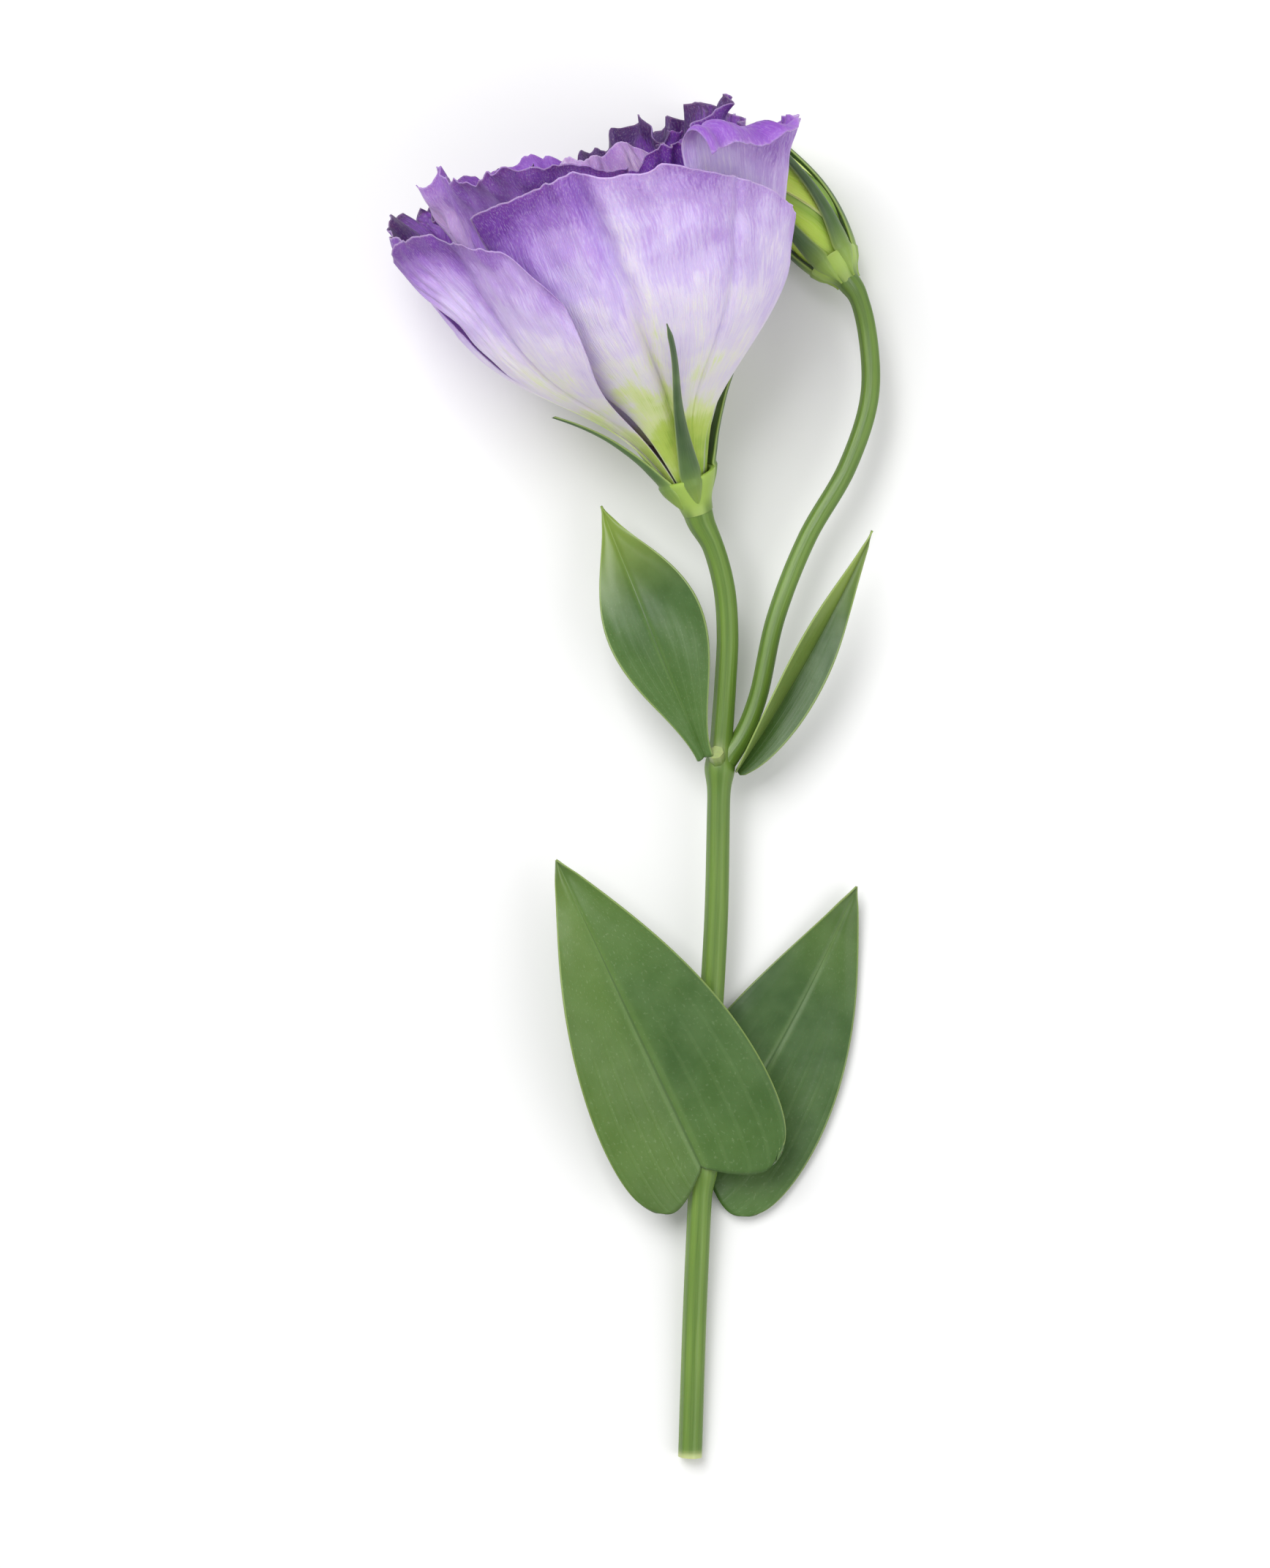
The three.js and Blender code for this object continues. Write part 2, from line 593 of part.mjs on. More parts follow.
const LEAVES = {
  leaf_upper_left: {
    base: new THREE.Vector3(-2.9, 40.2, 11.6), tip: new THREE.Vector3(-19.8, 83, 9),
    bow: new THREE.Vector3(-0.5, 0, 3.2), halfWidth: 9.6, leftShare: 0.76, foot: 0.03, belly: 1.8,
    taper: 1.6, fold: 20, roll: -6, lobe: 0.6, wave: 0.6, phase: 1,
  },
  leaf_upper_right: {
    base: new THREE.Vector3(3.9, 38.1, 8.4), tip: new THREE.Vector3(26.4, 78.6, 12),
    bow: new THREE.Vector3(1.5, -1.5, -1), halfWidth: 4.8, leftShare: 1.45, foot: 0.05, belly: 0.65,
    taper: 1.4, fold: 58, roll: 28, lobe: 0.6, wave: 0.4, phase: 2,
  },
  leaf_lower_front: {
    base: new THREE.Vector3(-2.8, -29.6, 8.25), tip: new THREE.Vector3(-27.4, 22.7, 12),
    bow: new THREE.Vector3(0, 0, 4), halfWidth: 16.8, leftShare: 0.8, foot: 0.42, belly: 0.55,
    taper: 0.9, fold: 6, roll: 0, lobe: 8.5, wave: 0.8, phase: 0,
  },
  leaf_lower_back: {
    base: new THREE.Vector3(-1.9, -30, 1.6), tip: new THREE.Vector3(24, 18, 3.4),
    bow: new THREE.Vector3(2, -2, -2.9), halfWidth: 14, leftShare: 0.9, foot: 0.4, belly: 0.6,
    taper: 0.95, fold: 3, roll: 0, lobe: 7, wave: 0.4, phase: 3,
  },
};

const flower = new THREE.Group();
flower.add(stem(), bloomCalyx(), pistil(), budPetals(), budCalyx());
flower.add(...outerPetals(), ...innerPetals());
flower.add(...Object.entries(LEAVES).map(([name, leaf]) => leafPiece(name, leaf)));
flower.position.copy(OUTLINE_MIDDLE).negate();

export default flower;
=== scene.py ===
# %% [markdown]
# # A cut lisianthus, from flat grids to a finished flower
#
# One stem of lisianthus lies on a pale table: a double bloom that shades from violet to white, a
# green bud twisted shut, and pairs of smooth dark green leaves. The CAD frame says where each part
# sits. This lesson grows a finer piece in the place of each CAD node and gives it its finish.
#
# Nearly everything here is thin and curved, so one idea carries the lesson: a flat grid is added as
# by hand, and a formula then moves its corners. Bent, a grid becomes a petal or a leaf. Rolled up,
# it becomes a stalk, a sepal or a bud.

# %% Load the frame
import math

import bpy
import numpy as np
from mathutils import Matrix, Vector, noise


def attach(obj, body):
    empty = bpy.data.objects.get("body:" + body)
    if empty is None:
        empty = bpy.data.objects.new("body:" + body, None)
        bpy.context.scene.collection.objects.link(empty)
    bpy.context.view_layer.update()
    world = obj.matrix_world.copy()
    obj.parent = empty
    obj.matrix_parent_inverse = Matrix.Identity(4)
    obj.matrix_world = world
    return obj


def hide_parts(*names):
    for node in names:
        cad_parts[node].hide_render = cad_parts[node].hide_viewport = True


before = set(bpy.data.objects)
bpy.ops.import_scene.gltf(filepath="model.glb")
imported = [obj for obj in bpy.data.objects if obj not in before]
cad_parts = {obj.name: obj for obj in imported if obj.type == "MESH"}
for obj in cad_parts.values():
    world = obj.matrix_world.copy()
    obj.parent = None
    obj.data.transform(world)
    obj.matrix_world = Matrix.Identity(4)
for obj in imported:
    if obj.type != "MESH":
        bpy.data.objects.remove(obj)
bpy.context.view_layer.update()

# %% [markdown]
# ## Working in drafting millimetres
#
# Plants are easier to think about in millimetres. Every point is drafted in millimetres from the
# middle of the lower stem, as in the CAD, and one function brings it into the frame in metres.

# %% Units and small mathematics
MM = 0.001
OUTLINE_MIDDLE = Vector((-14, 35.6, 0))
GROUND_CLEARANCE = 0.1


def placed(point):
    """A drafted point in millimetres, brought into the frame, never below the table."""
    x, y, z = point - OUTLINE_MIDDLE
    return Vector((x, y, max(z, GROUND_CLEARANCE))) * MM


def mix(start, end, share):
    return start + (end - start) * share


def smooth(start, end, x):
    """Rises softly from 0 at start to 1 at end."""
    share = min(max((x - start) / (end - start), 0), 1)
    return share * share * (3 - 2 * share)


def bump(x, width):
    return math.exp(-((x / width) ** 2))


def two_waves(x, waves, shift):
    slow, fast = waves
    return math.sin(slow * x + shift) + 0.7 * math.sin(fast * x + 2 * shift)


def wobble(x, seed):
    """A smooth random line between about -1 and 1, the same in each run."""
    return noise.noise(Vector((x, seed, 0.5 * seed)))


print("soft rise at a quarter, a half and the end:", [round(smooth(0, 1, x), 2) for x in (0.25, 0.5, 1)])

# %% [markdown]
# ## Bending a grid
#
# A petal has a front and a back a third of a millimetre apart, and its edge is thinner still. The
# grid gives the shape, a Solidify modifier the thickness, and a vertex group thins it at the edge.
# Three facts about each corner are stored on the mesh for the materials: how far it is from the
# edge, whether it lies on the outer or the inner face, and how much of an extra tint it takes.

# %% Bent grids
def deselect_all():
    if bpy.context.mode != "OBJECT":
        bpy.ops.object.mode_set(mode="OBJECT")
    bpy.ops.object.select_all(action="DESELECT")


def new_grid(name, columns, rows):
    deselect_all()
    bpy.ops.mesh.primitive_grid_add(x_subdivisions=columns, y_subdivisions=rows, size=2)
    piece = bpy.context.object
    piece.name = piece.data.name = name
    return piece


def grid_places(piece):
    """For each corner of a new grid, u from -1 to 1 across and v from 0 to 1 along."""
    return [(vertex.co.x, (vertex.co.y + 1) / 2) for vertex in piece.data.vertices]


def store(piece, name, values):
    attribute = piece.data.attributes.new(name, "FLOAT", "POINT")
    attribute.data.foreach_set("value", np.asarray(values, dtype=np.float32))


def distances_to_edge(points, columns, rows):
    """Distance in millimetres from each corner to the nearest free edge, along the grid's lines."""
    net = np.array(points).reshape(rows + 1, columns + 1, 3)
    along = np.linalg.norm(np.diff(net, axis=0), axis=2)
    across = np.linalg.norm(np.diff(net, axis=1), axis=2)
    to_top = np.zeros((rows + 1, columns + 1))
    to_top[:-1] = np.cumsum(along[::-1], axis=0)[::-1]
    to_left = np.zeros_like(to_top)
    to_left[:, 1:] = np.cumsum(across, axis=1)
    to_right = to_left[:, -1:] - to_left
    return np.minimum(to_top, np.minimum(to_left, to_right)).ravel()


def bent_piece(name, columns, rows, surface, thickness, edge_share, tint=None):
    """A thin piece over surface(u, v), with its edge distance, face and tint stored."""
    piece = new_grid(name, columns, rows)
    places = grid_places(piece)
    points = [surface(u, v) for u, v in places]
    for vertex, point in zip(piece.data.vertices, points):
        vertex.co = placed(point)
    edge = distances_to_edge(points, columns, rows)
    store(piece, "edge", edge)
    store(piece, "tint", [tint(u, v) if tint else 0 for u, v in places])
    group = piece.vertex_groups.new(name="thickness")
    for index, distance in enumerate(edge):
        group.add([index], mix(edge_share, 1, smooth(0, 3, distance)), "REPLACE")
    before = [vertex.co.copy() for vertex in piece.data.vertices]
    normals = [vertex.normal.copy() for vertex in piece.data.vertices]
    solidify = piece.modifiers.new("Solidify", "SOLIDIFY")
    solidify.thickness = thickness * MM
    solidify.offset = 0
    solidify.vertex_group = group.name
    bpy.ops.object.modifier_apply(modifier=solidify.name)
    count = len(before)
    inner = []
    for index, vertex in enumerate(piece.data.vertices):
        away = (vertex.co - before[index % count]).dot(normals[index % count])
        inner.append(0.0 if away > 0 else 1.0)
    store(piece, "inner", inner)
    piece.vertex_groups.clear()
    bpy.ops.object.shade_smooth()
    return piece


# %% [markdown]
# ## Rolling a grid up
#
# A stalk is the same grid rolled into a tube. Its two long edges meet and are merged, and the open
# ends are filled. Its own UV map still says how far round and how far along each face is, which is
# what the ribs and streaks of a stem follow.

# %% Rolled grids
def rolled_piece(name, sides, steps, surface):
    """A closed tube over surface(angle, v), with angle going once round."""
    piece = new_grid(name, sides, steps)
    for vertex, (u, v) in zip(piece.data.vertices, grid_places(piece)):
        vertex.co = placed(surface(math.pi * (u + 1), v))
    bpy.ops.object.mode_set(mode="EDIT")
    bpy.ops.mesh.select_all(action="SELECT")
    bpy.ops.mesh.remove_doubles(threshold=0.002 * MM)
    bpy.ops.mesh.select_all(action="DESELECT")
    bpy.ops.mesh.select_mode(type="EDGE")
    bpy.ops.mesh.select_non_manifold()
    bpy.ops.mesh.edge_face_add()
    bpy.ops.mesh.select_mode(type="VERT")
    bpy.ops.mesh.select_all(action="SELECT")
    bpy.ops.mesh.normals_make_consistent(inside=False)
    bpy.ops.object.mode_set(mode="OBJECT")
    bpy.ops.object.shade_smooth_by_angle(angle=math.radians(50))
    return piece


def joined(name, parts):
    deselect_all()
    for part in parts:
        part.select_set(True)
    bpy.context.view_layer.objects.active = parts[0]
    if len(parts) > 1:
        bpy.ops.object.join()
    piece = bpy.context.object
    piece.name = piece.data.name = name
    return piece


# %% [markdown]
# ## Setting a piece in the frame
#
# Each finished piece stands for one CAD node. It rides on the part's only body and gets one
# material.

# %% Setting a piece
finished = []


def set_piece(piece, node, material):
    piece.data.materials.clear()
    piece.data.materials.append(material)
    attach(piece, "root")
    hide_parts(node)
    finished.append(piece)
    return piece


# %% [markdown]
# ## Building blocks for the finishes
#
# A petal's colour runs lengthwise in thousands of fine fibres, fanned out from its foot. Leaves,
# stems and sepals have the same grain, only fainter, so the grain is one node group that reads the
# piece's UV map. A second group gives cloudy patches in the piece's own space.

# %% Node helpers
def rgb(red, green, blue):
    """A display colour of 0 to 255 in each channel, as the linear colour that a node takes."""
    channels = [value / 255 for value in (red, green, blue)]
    linear = [c / 12.92 if c <= 0.04045 else ((c + 0.055) / 1.055) ** 2.4 for c in channels]
    return (*linear, 1)


def add_node(tree, kind, inputs=None, **settings):
    node = tree.nodes.new(kind)
    for name, value in settings.items():
        setattr(node, name, value)
    for key, value in (inputs or {}).items():
        if isinstance(value, bpy.types.NodeSocket):
            tree.links.new(value, node.inputs[key])
        else:
            node.inputs[key].default_value = value
    return node


def maths(tree, operation, first, second=0.0):
    node = add_node(tree, "ShaderNodeMath", {0: first, 1: second}, operation=operation)
    return node.outputs[0]


def ramp(tree, factor, stops, interpolation="EASE"):
    """Colours at stops from 0 to 1."""
    node = add_node(tree, "ShaderNodeValToRGB", {"Fac": factor})
    node.color_ramp.interpolation = interpolation
    elements = node.color_ramp.elements
    while len(elements) < len(stops):
        elements.new(0.5)
    for element, (position, colour) in zip(elements, stops):
        element.position = position
        element.color = colour
    return node.outputs["Color"]


def span(tree, value, low, high, to_low=0.0, to_high=1.0):
    """Value from low to high becomes to_low to to_high, softly and no further."""
    node = add_node(tree, "ShaderNodeMapRange", {
        "Value": value, "From Min": low, "From Max": high, "To Min": to_low, "To Max": to_high,
    }, interpolation_type="SMOOTHSTEP")
    return node.outputs["Result"]


def blended(tree, factor, first, second, blend="MIX"):
    """Two colours mixed, with the second one as strong as the factor."""
    node = add_node(tree, "ShaderNodeMix", data_type="RGBA", blend_type=blend)
    for index, value in ((0, factor), (6, first), (7, second)):
        if isinstance(value, bpy.types.NodeSocket):
            tree.links.new(value, node.inputs[index])
        else:
            node.inputs[index].default_value = value
    return node.outputs[2]


def stored(tree, name):
    return add_node(tree, "ShaderNodeAttribute", attribute_name=name).outputs["Fac"]


def uv_parts(tree):
    uv = add_node(tree, "ShaderNodeUVMap", uv_map="UVMap")
    parts = add_node(tree, "ShaderNodeSeparateXYZ", {0: uv.outputs["UV"]})
    return parts.outputs["X"], parts.outputs["Y"]


def new_material(name, **constants):
    material = bpy.data.materials.new(name)
    material.use_nodes = True
    shader = material.node_tree.nodes["Principled BSDF"]
    for key, value in constants.items():
        shader.inputs[key.replace("_", " ")].default_value = value
    return material, material.node_tree, shader


# %% Shared effects
def new_group(name, inputs):
    """An empty group with float inputs and one float output called Value."""
    group = bpy.data.node_groups.new(name, "ShaderNodeTree")
    for label, value in inputs.items():
        socket = group.interface.new_socket(label, in_out="INPUT", socket_type="NodeSocketFloat")
        socket.default_value = value
    group.interface.new_socket("Value", in_out="OUTPUT", socket_type="NodeSocketFloat")
    return group, group.nodes.new("NodeGroupInput"), group.nodes.new("NodeGroupOutput")


def fibre_group():
    """Fine lines along v, as many as Across says, that fade in and out as often as Along says."""
    group, given, result = new_group("lengthwise_fibres", {"Across": 60.0, "Along": 3.0, "Seed": 0.0})
    uv = add_node(group, "ShaderNodeUVMap", uv_map="UVMap")
    sway = add_node(group, "ShaderNodeTexNoise", {"Vector": uv.outputs["UV"], "Scale": 5.0})
    shift = maths(group, "MULTIPLY", maths(group, "SUBTRACT", sway.outputs["Fac"], 0.5), 0.04)
    moved = add_node(group, "ShaderNodeCombineXYZ", {"X": shift})
    place = add_node(group, "ShaderNodeVectorMath", {0: uv.outputs["UV"], 1: moved.outputs[0]})
    scale = add_node(group, "ShaderNodeCombineXYZ", {
        "X": given.outputs["Across"], "Y": given.outputs["Along"],
    })
    stretched = add_node(group, "ShaderNodeVectorMath", {0: place.outputs[0], 1: scale.outputs[0]},
                         operation="MULTIPLY")
    lines = add_node(group, "ShaderNodeTexNoise", {
        "Vector": stretched.outputs[0], "W": given.outputs["Seed"], "Scale": 1.0, "Detail": 3.0,
    }, noise_dimensions="4D")
    contrast = span(group, lines.outputs["Fac"], 0.28, 0.72)
    group.links.new(contrast, result.inputs["Value"])
    return group


def cloud_group():
    """Soft patches in the piece's own space, Scale of them in a metre."""
    group, given, result = new_group("cloudy_patches", {"Scale": 60.0, "Seed": 0.0})
    place = add_node(group, "ShaderNodeTexCoord")
    clouds = add_node(group, "ShaderNodeTexNoise", {
        "Vector": place.outputs["Object"], "W": given.outputs["Seed"], "Scale": given.outputs["Scale"],
        "Detail": 2.0,
    }, noise_dimensions="4D")
    group.links.new(span(group, clouds.outputs["Fac"], 0.3, 0.7), result.inputs["Value"])
    return group


FIBRES = fibre_group()
CLOUDS = cloud_group()


def fibres(tree, across, along, seed=0.0):
    node = add_node(tree, "ShaderNodeGroup", node_tree=FIBRES)
    for label, value in (("Across", across), ("Along", along), ("Seed", seed)):
        node.inputs[label].default_value = value
    return node.outputs["Value"]


def clouds(tree, scale, seed=0.0):
    node = add_node(tree, "ShaderNodeGroup", node_tree=CLOUDS)
    node.inputs["Scale"].default_value = scale
    node.inputs["Seed"].default_value = seed
    return node.outputs["Value"]


def raised(tree, shader, height, distance, strength=1.0):
    """Relief of the given distance in millimetres feeds the shader's normal."""
    node = add_node(tree, "ShaderNodeBump", {
        "Height": height, "Distance": distance * MM, "Strength": strength,
    })
    tree.links.new(node.outputs["Normal"], shader.inputs["Normal"])


print("node groups:", [group.name for group in (FIBRES, CLOUDS)])

# %% [markdown]
# ## The finish of the petals
#
# A lisianthus petal is green at its claw, cream above it, then white, lilac and, near the edge,
# violet. Its inner face is a deep velvety violet. One function makes each whorl's finish from two
# rows of colours, so that the outer face, the inner face, the fibres and the pale edge line always
# work together. The colours are laid along the petal and then pulled up and down by the fibres.

# %% Petal finish
PALE_EDGE = rgb(226, 210, 238)
WHITE_FLECK = rgb(244, 238, 248)


def petal_finish(name, outer, inner, fleck, seed, edge=0.5, reach=0.66):
    material, tree, shader = new_material(
        name, Roughness=0.55, Subsurface_Weight=0.1, Subsurface_Scale=1.5 * MM, Sheen_Weight=0.08,
        Sheen_Roughness=0.4,
    )
    _, along = uv_parts(tree)
    flecks = fibres(tree, 320, 50, seed)
    fine = fibres(tree, 170, 14, seed + 2)
    broad = fibres(tree, 24, 1.6, seed + 3)
    grain = maths(tree, "ADD", maths(tree, "MULTIPLY", fine, 0.6), maths(tree, "MULTIPLY", broad, 0.4))
    climb = maths(tree, "MULTIPLY", maths(tree, "POWER", along, 0.8), reach)
    sway_reach = span(tree, along, 0.05, 0.5, 0.05, 0.2)
    sway = maths(tree, "MULTIPLY", maths(tree, "SUBTRACT", grain, 0.5), sway_reach)
    pulled = maths(tree, "ADD", climb, sway)
    # The stored tint adds the violet patches, some of which are painted shade or painted light.
    pulled = maths(tree, "ADD", pulled, stored(tree, "tint"))
    for scale, strength in ((110, 0.13), (300, 0.04)):
        patch = maths(tree, "SUBTRACT", clouds(tree, scale, seed), 0.5)
        pulled = maths(tree, "ADD", pulled, maths(tree, "MULTIPLY", patch, strength))
    outside = ramp(tree, pulled, outer)
    inside = ramp(tree, pulled, inner)
    white = maths(tree, "MULTIPLY", span(tree, flecks, 0.5, 1.0), span(tree, along, 0.15, 0.5))
    outside = blended(tree, maths(tree, "MULTIPLY", white, fleck), outside, WHITE_FLECK)
    inside = blended(tree, maths(tree, "MULTIPLY", white, 0.5 * fleck), inside, WHITE_FLECK)
    colour = blended(tree, stored(tree, "inner"), outside, inside)
    edge_line = span(tree, stored(tree, "edge"), 0.05, 0.4, edge, 0.0)
    outward = maths(tree, "SUBTRACT", 1.0, maths(tree, "MULTIPLY", stored(tree, "inner"), 0.6))
    colour = blended(tree, maths(tree, "MULTIPLY", edge_line, outward), colour, PALE_EDGE)
    tree.links.new(colour, shader.inputs["Base Color"])
    relief = maths(tree, "ADD", grain, maths(tree, "MULTIPLY", flecks, 0.5))
    raised(tree, shader, relief, 0.12, 0.6)
    return material


OUTER_COLOURS = [
    (0.0, rgb(146, 184, 46)), (0.1, rgb(192, 216, 92)), (0.18, rgb(224, 234, 164)),
    (0.26, rgb(234, 228, 228)), (0.36, rgb(225, 212, 238)), (0.48, rgb(206, 186, 234)),
    (0.62, rgb(184, 152, 220)), (0.8, rgb(148, 104, 192)), (1.0, rgb(112, 58, 158)),
]
# The two darkest stops, reached only where a violet patch adds to the climb, are partly the petals' own
# deep violet and partly painted shade of the back ruffles.
INNER_COLOURS = [
    (0.0, rgb(170, 180, 90)), (0.12, rgb(206, 190, 216)), (0.3, rgb(176, 140, 210)),
    (0.5, rgb(144, 92, 190)), (0.7, rgb(130, 70, 178)), (0.88, rgb(104, 48, 148)), (1.0, rgb(64, 22, 96)),
]
outer_finish = petal_finish(
    "outer_petal_finish", OUTER_COLOURS, INNER_COLOURS, fleck=0.16, seed=1.0, edge=0.35,
)
middle_finish = petal_finish(
    "middle_petal_finish",
    [(0.0, rgb(198, 196, 160)), (0.1, rgb(222, 208, 232)), (0.35, rgb(196, 164, 220)),
     (0.6, rgb(156, 110, 200)), (1.0, rgb(112, 56, 162))],
    INNER_COLOURS, fleck=0.2, seed=2.0, edge=0.25, reach=0.8,
)
inner_finish = petal_finish(
    "inner_petal_finish",
    [(0.0, rgb(190, 200, 120)), (0.3, rgb(206, 186, 220)), (0.6, rgb(150, 98, 198)),
     (1.0, rgb(124, 62, 178))],
    INNER_COLOURS, fleck=0.2, seed=3.0, edge=0.15, reach=0.9,
)
heart_finish = petal_finish(
    "heart_petal_finish",
    [(0.0, rgb(206, 214, 150)), (0.4, rgb(232, 220, 226)), (0.62, rgb(214, 192, 220)),
     (0.85, rgb(170, 132, 196)), (1.0, rgb(150, 104, 190))],
    INNER_COLOURS, fleck=0.2, seed=4.0, edge=0.3, reach=0.7,
)
print("petal finishes:", [m.name for m in (outer_finish, middle_finish, inner_finish, heart_finish)])

# %% [markdown]
# ## The form of the bloom
#
# The bloom is a goblet: narrow where the petals' claws stand in the calyx, swelling above it, and
# flaring to the rim. It lies on its side and leans a little off the table, so it has a foot, an axis
# and a direction that points up at the viewer. A petal is a part of one layer of the goblet between
# two turns. It is cut from the same formula as in the CAD, on a much finer grid, which has room for
# what the CAD leaves out: the notched edge, the crimps below it and the creases.

# %% The goblet
BLOOM_BASE = Vector((-4.5, 85.4, 14))
BLOOM_AXIS = Vector((-0.303, 0.91, 0.283)).normalized()
BLOOM_RIGHT = Vector((0.949, 0.316, 0)).normalized()
BLOOM_FRONT = BLOOM_RIGHT.cross(BLOOM_AXIS)
GOBLET = {"foot": 2.6, "slope": 0.3, "swell": 17, "waist": 22, "softness": 5.5}
INNER_LIFT = {"rise": 24, "over": 60}
SOLID_PETAL_THICKNESS = 0.6
PETAL_THICKNESS = 0.36
PETAL_EDGE_SHARE = 0.5
CLAW_GAP = 0.35
LEAST_ROLL = 0.05


def in_bloom(radius, turn, height):
    """The point at a radius from the bloom's axis, a turn from its front and a height."""
    across = BLOOM_FRONT * (radius * math.cos(turn)) + BLOOM_RIGHT * (radius * math.sin(turn))
    return BLOOM_BASE + BLOOM_AXIS * height + across


def goblet_radius(height):
    swelling = GOBLET["swell"] / (1 + math.exp((GOBLET["waist"] - height) / GOBLET["softness"]))
    return GOBLET["foot"] + GOBLET["slope"] * height + swelling


def pressed_radius(radius, turn, height):
    """The bloom's lower side is pressed flat against the table."""
    least_down, inner_share, sharpness = 0.05, 0.97, 24
    down = -math.cos(turn)
    if down <= least_down:
        return radius
    room = BLOOM_BASE.z + height * BLOOM_AXIS.z - SOLID_PETAL_THICKNESS / 2
    reach = room / (BLOOM_FRONT.z * down)
    outermost = max(radius, goblet_radius(height) * inner_share)
    return radius / (1 + (outermost / reach) ** sharpness) ** (1 / sharpness)


print("goblet radius at the foot, waist and rim:", [round(goblet_radius(h), 1) for h in (0, 24, 58)])

# %% The surface of one petal
PETAL = {
    "row_crowding": 1.4, "fringe_waves": (6.3, 14), "peak_width": 0.35, "lean_width": 0.45,
    "lean_between": (25, 55), "ruffled_from": 0.4, "fold_waves": 4.5, "fold_between": (12, 40),
    "skew_between": (4, 20), "right_roll_between": (0.2, 0.85), "crease_between": (8, 30),
    "crumple_between": (20, 50), "rugged_between": (-0.2, 0.4),
}
NOTCHES = ((9, 0.9), (22, 0.35), (47, 0.15))
print("depths of coarse, middling and fine notches in millimetres:", [depth for _, depth in NOTCHES])


def petal_surface(petal):
    middle = math.radians(petal["turn"])
    seed = petal["seed"]

    def top_at(u):
        drop = petal["drop"][0 if u < 0 else 1] * abs(u) ** petal["drop_power"]
        peak_at, peak_height = petal["peak"]
        peak = peak_height * bump(u - peak_at, PETAL["peak_width"])
        fringe = petal["fringe"] * two_waves(u, PETAL["fringe_waves"], petal["phase"])
        notches = sum(depth * petal["notch"] * wobble(count * u, seed) for count, depth in NOTCHES)
        return petal["height"] * (1 - drop) + fringe + peak + notches

    def roll_at(u):
        left, centre, right = (math.radians(angle) for angle in petal["roll"])
        left_roll = mix(left, centre, smooth(*petal["left_roll_between"], u))
        roll = mix(left_roll, right, smooth(*PETAL["right_roll_between"], u))
        return LEAST_ROLL if abs(roll) < LEAST_ROLL else roll

    def creases(u, run):
        """Narrow valleys that wander from one place at the foot to another at the rim."""
        depth = 0
        for at_foot, at_rim, deep, width in petal["creases"]:
            at = mix(at_foot, at_rim, run / petal["height"])
            depth += deep * bump(u - at, width) * smooth(*PETAL["crease_between"], run)
        return depth

    def frill_at(turn):
        """Small folds of the edge, each about as wide as frill_wave millimetres along the rim."""
        rim = petal["layer"] * goblet_radius(petal["height"])
        pace = 2 * math.pi * rim / petal["frill_wave"]
        strength = 0.7 + 1.3 * wobble(2.5 * turn, seed + 4)
        return strength * math.sin(pace * turn + 4 * wobble(0.3 * pace * turn, seed + 8))

    def surface(u, v):
        top = top_at(u)
        run = petal["start"] + (top - petal["start"]) * (1 - (1 - v) ** PETAL["row_crowding"])
        straight = min(run, top - petal["roll_length"])
        side = 0 if u < 0 else 1
        width = mix(petal["claws"][side], petal["spread"][side], smooth(*petal["widens"][side], run))
        turn = middle + math.radians(width) * u
        open_radius = goblet_radius(straight)
        rise = smooth(PETAL["ruffled_from"], 1, run / petal["height"])
        ruffle = petal["ruffle"] * two_waves(turn, petal["waves"], 1) * rise**2
        fold_wave = math.sin(PETAL["fold_waves"] * u + petal["phase"])
        fold = petal["fold"] * fold_wave * smooth(*PETAL["fold_between"], run)
        skew = petal["skew"][side] * smooth(*PETAL["skew_between"], run) * abs(u)
        layer = petal["layer"] + skew + (ruffle + fold - creases(u, run)) / open_radius
        lean = petal["lean"] * bump(u, PETAL["lean_width"]) * smooth(*PETAL["lean_between"], run)
        lift = INNER_LIFT["rise"] * (1 - petal["layer"] - skew) * (straight / INNER_LIFT["over"]) ** 2
        radius = layer * open_radius + lean
        height = straight + lift
        slant = math.atan(GOBLET["slope"] * layer)
        angle = slant
        if run > straight:
            roll = roll_at(u)
            roll_radius = petal["roll_length"] / roll
            angle = slant + (run - straight) / roll_radius
            radius += roll_radius * (math.cos(slant) - math.cos(angle))
            height += roll_radius * (math.sin(angle) - math.sin(slant))
        rugged = mix(petal["left_rugged"], 1, smooth(*PETAL["rugged_between"], u))
        frill = rugged * petal["frill"] * frill_at(turn) * math.exp((run - top) / petal["frill_depth"])
        crumple = rugged * petal["crumple"] * wobble(9 * u, seed + 0.18 * run)
        crumple *= smooth(*PETAL["crumple_between"], run)
        radius += (frill + crumple) * math.cos(angle)
        height -= (frill + crumple) * math.sin(angle)
        return in_bloom(pressed_radius(radius, turn, height), turn, height)

    return surface


# %% [markdown]
# ## Claws and patches of colour
#
# At its foot a petal is a narrow claw, and the claws of one whorl stand side by side in the calyx.
# The width of each comes from the turns of its two neighbours, so that no claw needs its own number.
# The deeper violet of a petal gathers in a few soft patches near its edge. Some are painted shade
# along a crease, under a folded collar and on shaded back ruffles, and some paler ones painted light.

# %% Claws and patches of colour
def with_claws(petals):
    """At its foot a petal reaches its share of the way to the next one, less a gap."""
    gaps_after = []
    for petal, following in zip(petals, petals[1:] + petals[:1]):
        way = (following["turn"] - petal["turn"]) % 360
        share = petal.get("claw_share", 0.5)
        gaps_after.append((way * share, way * (1 - share)))
    for k, petal in enumerate(petals):
        gap = math.degrees(CLAW_GAP / (petal["layer"] * goblet_radius(petal["start"])))
        petal["claws"] = (gaps_after[k - 1][1] - gap / 2, gaps_after[k][0] - gap / 2)
    return petals


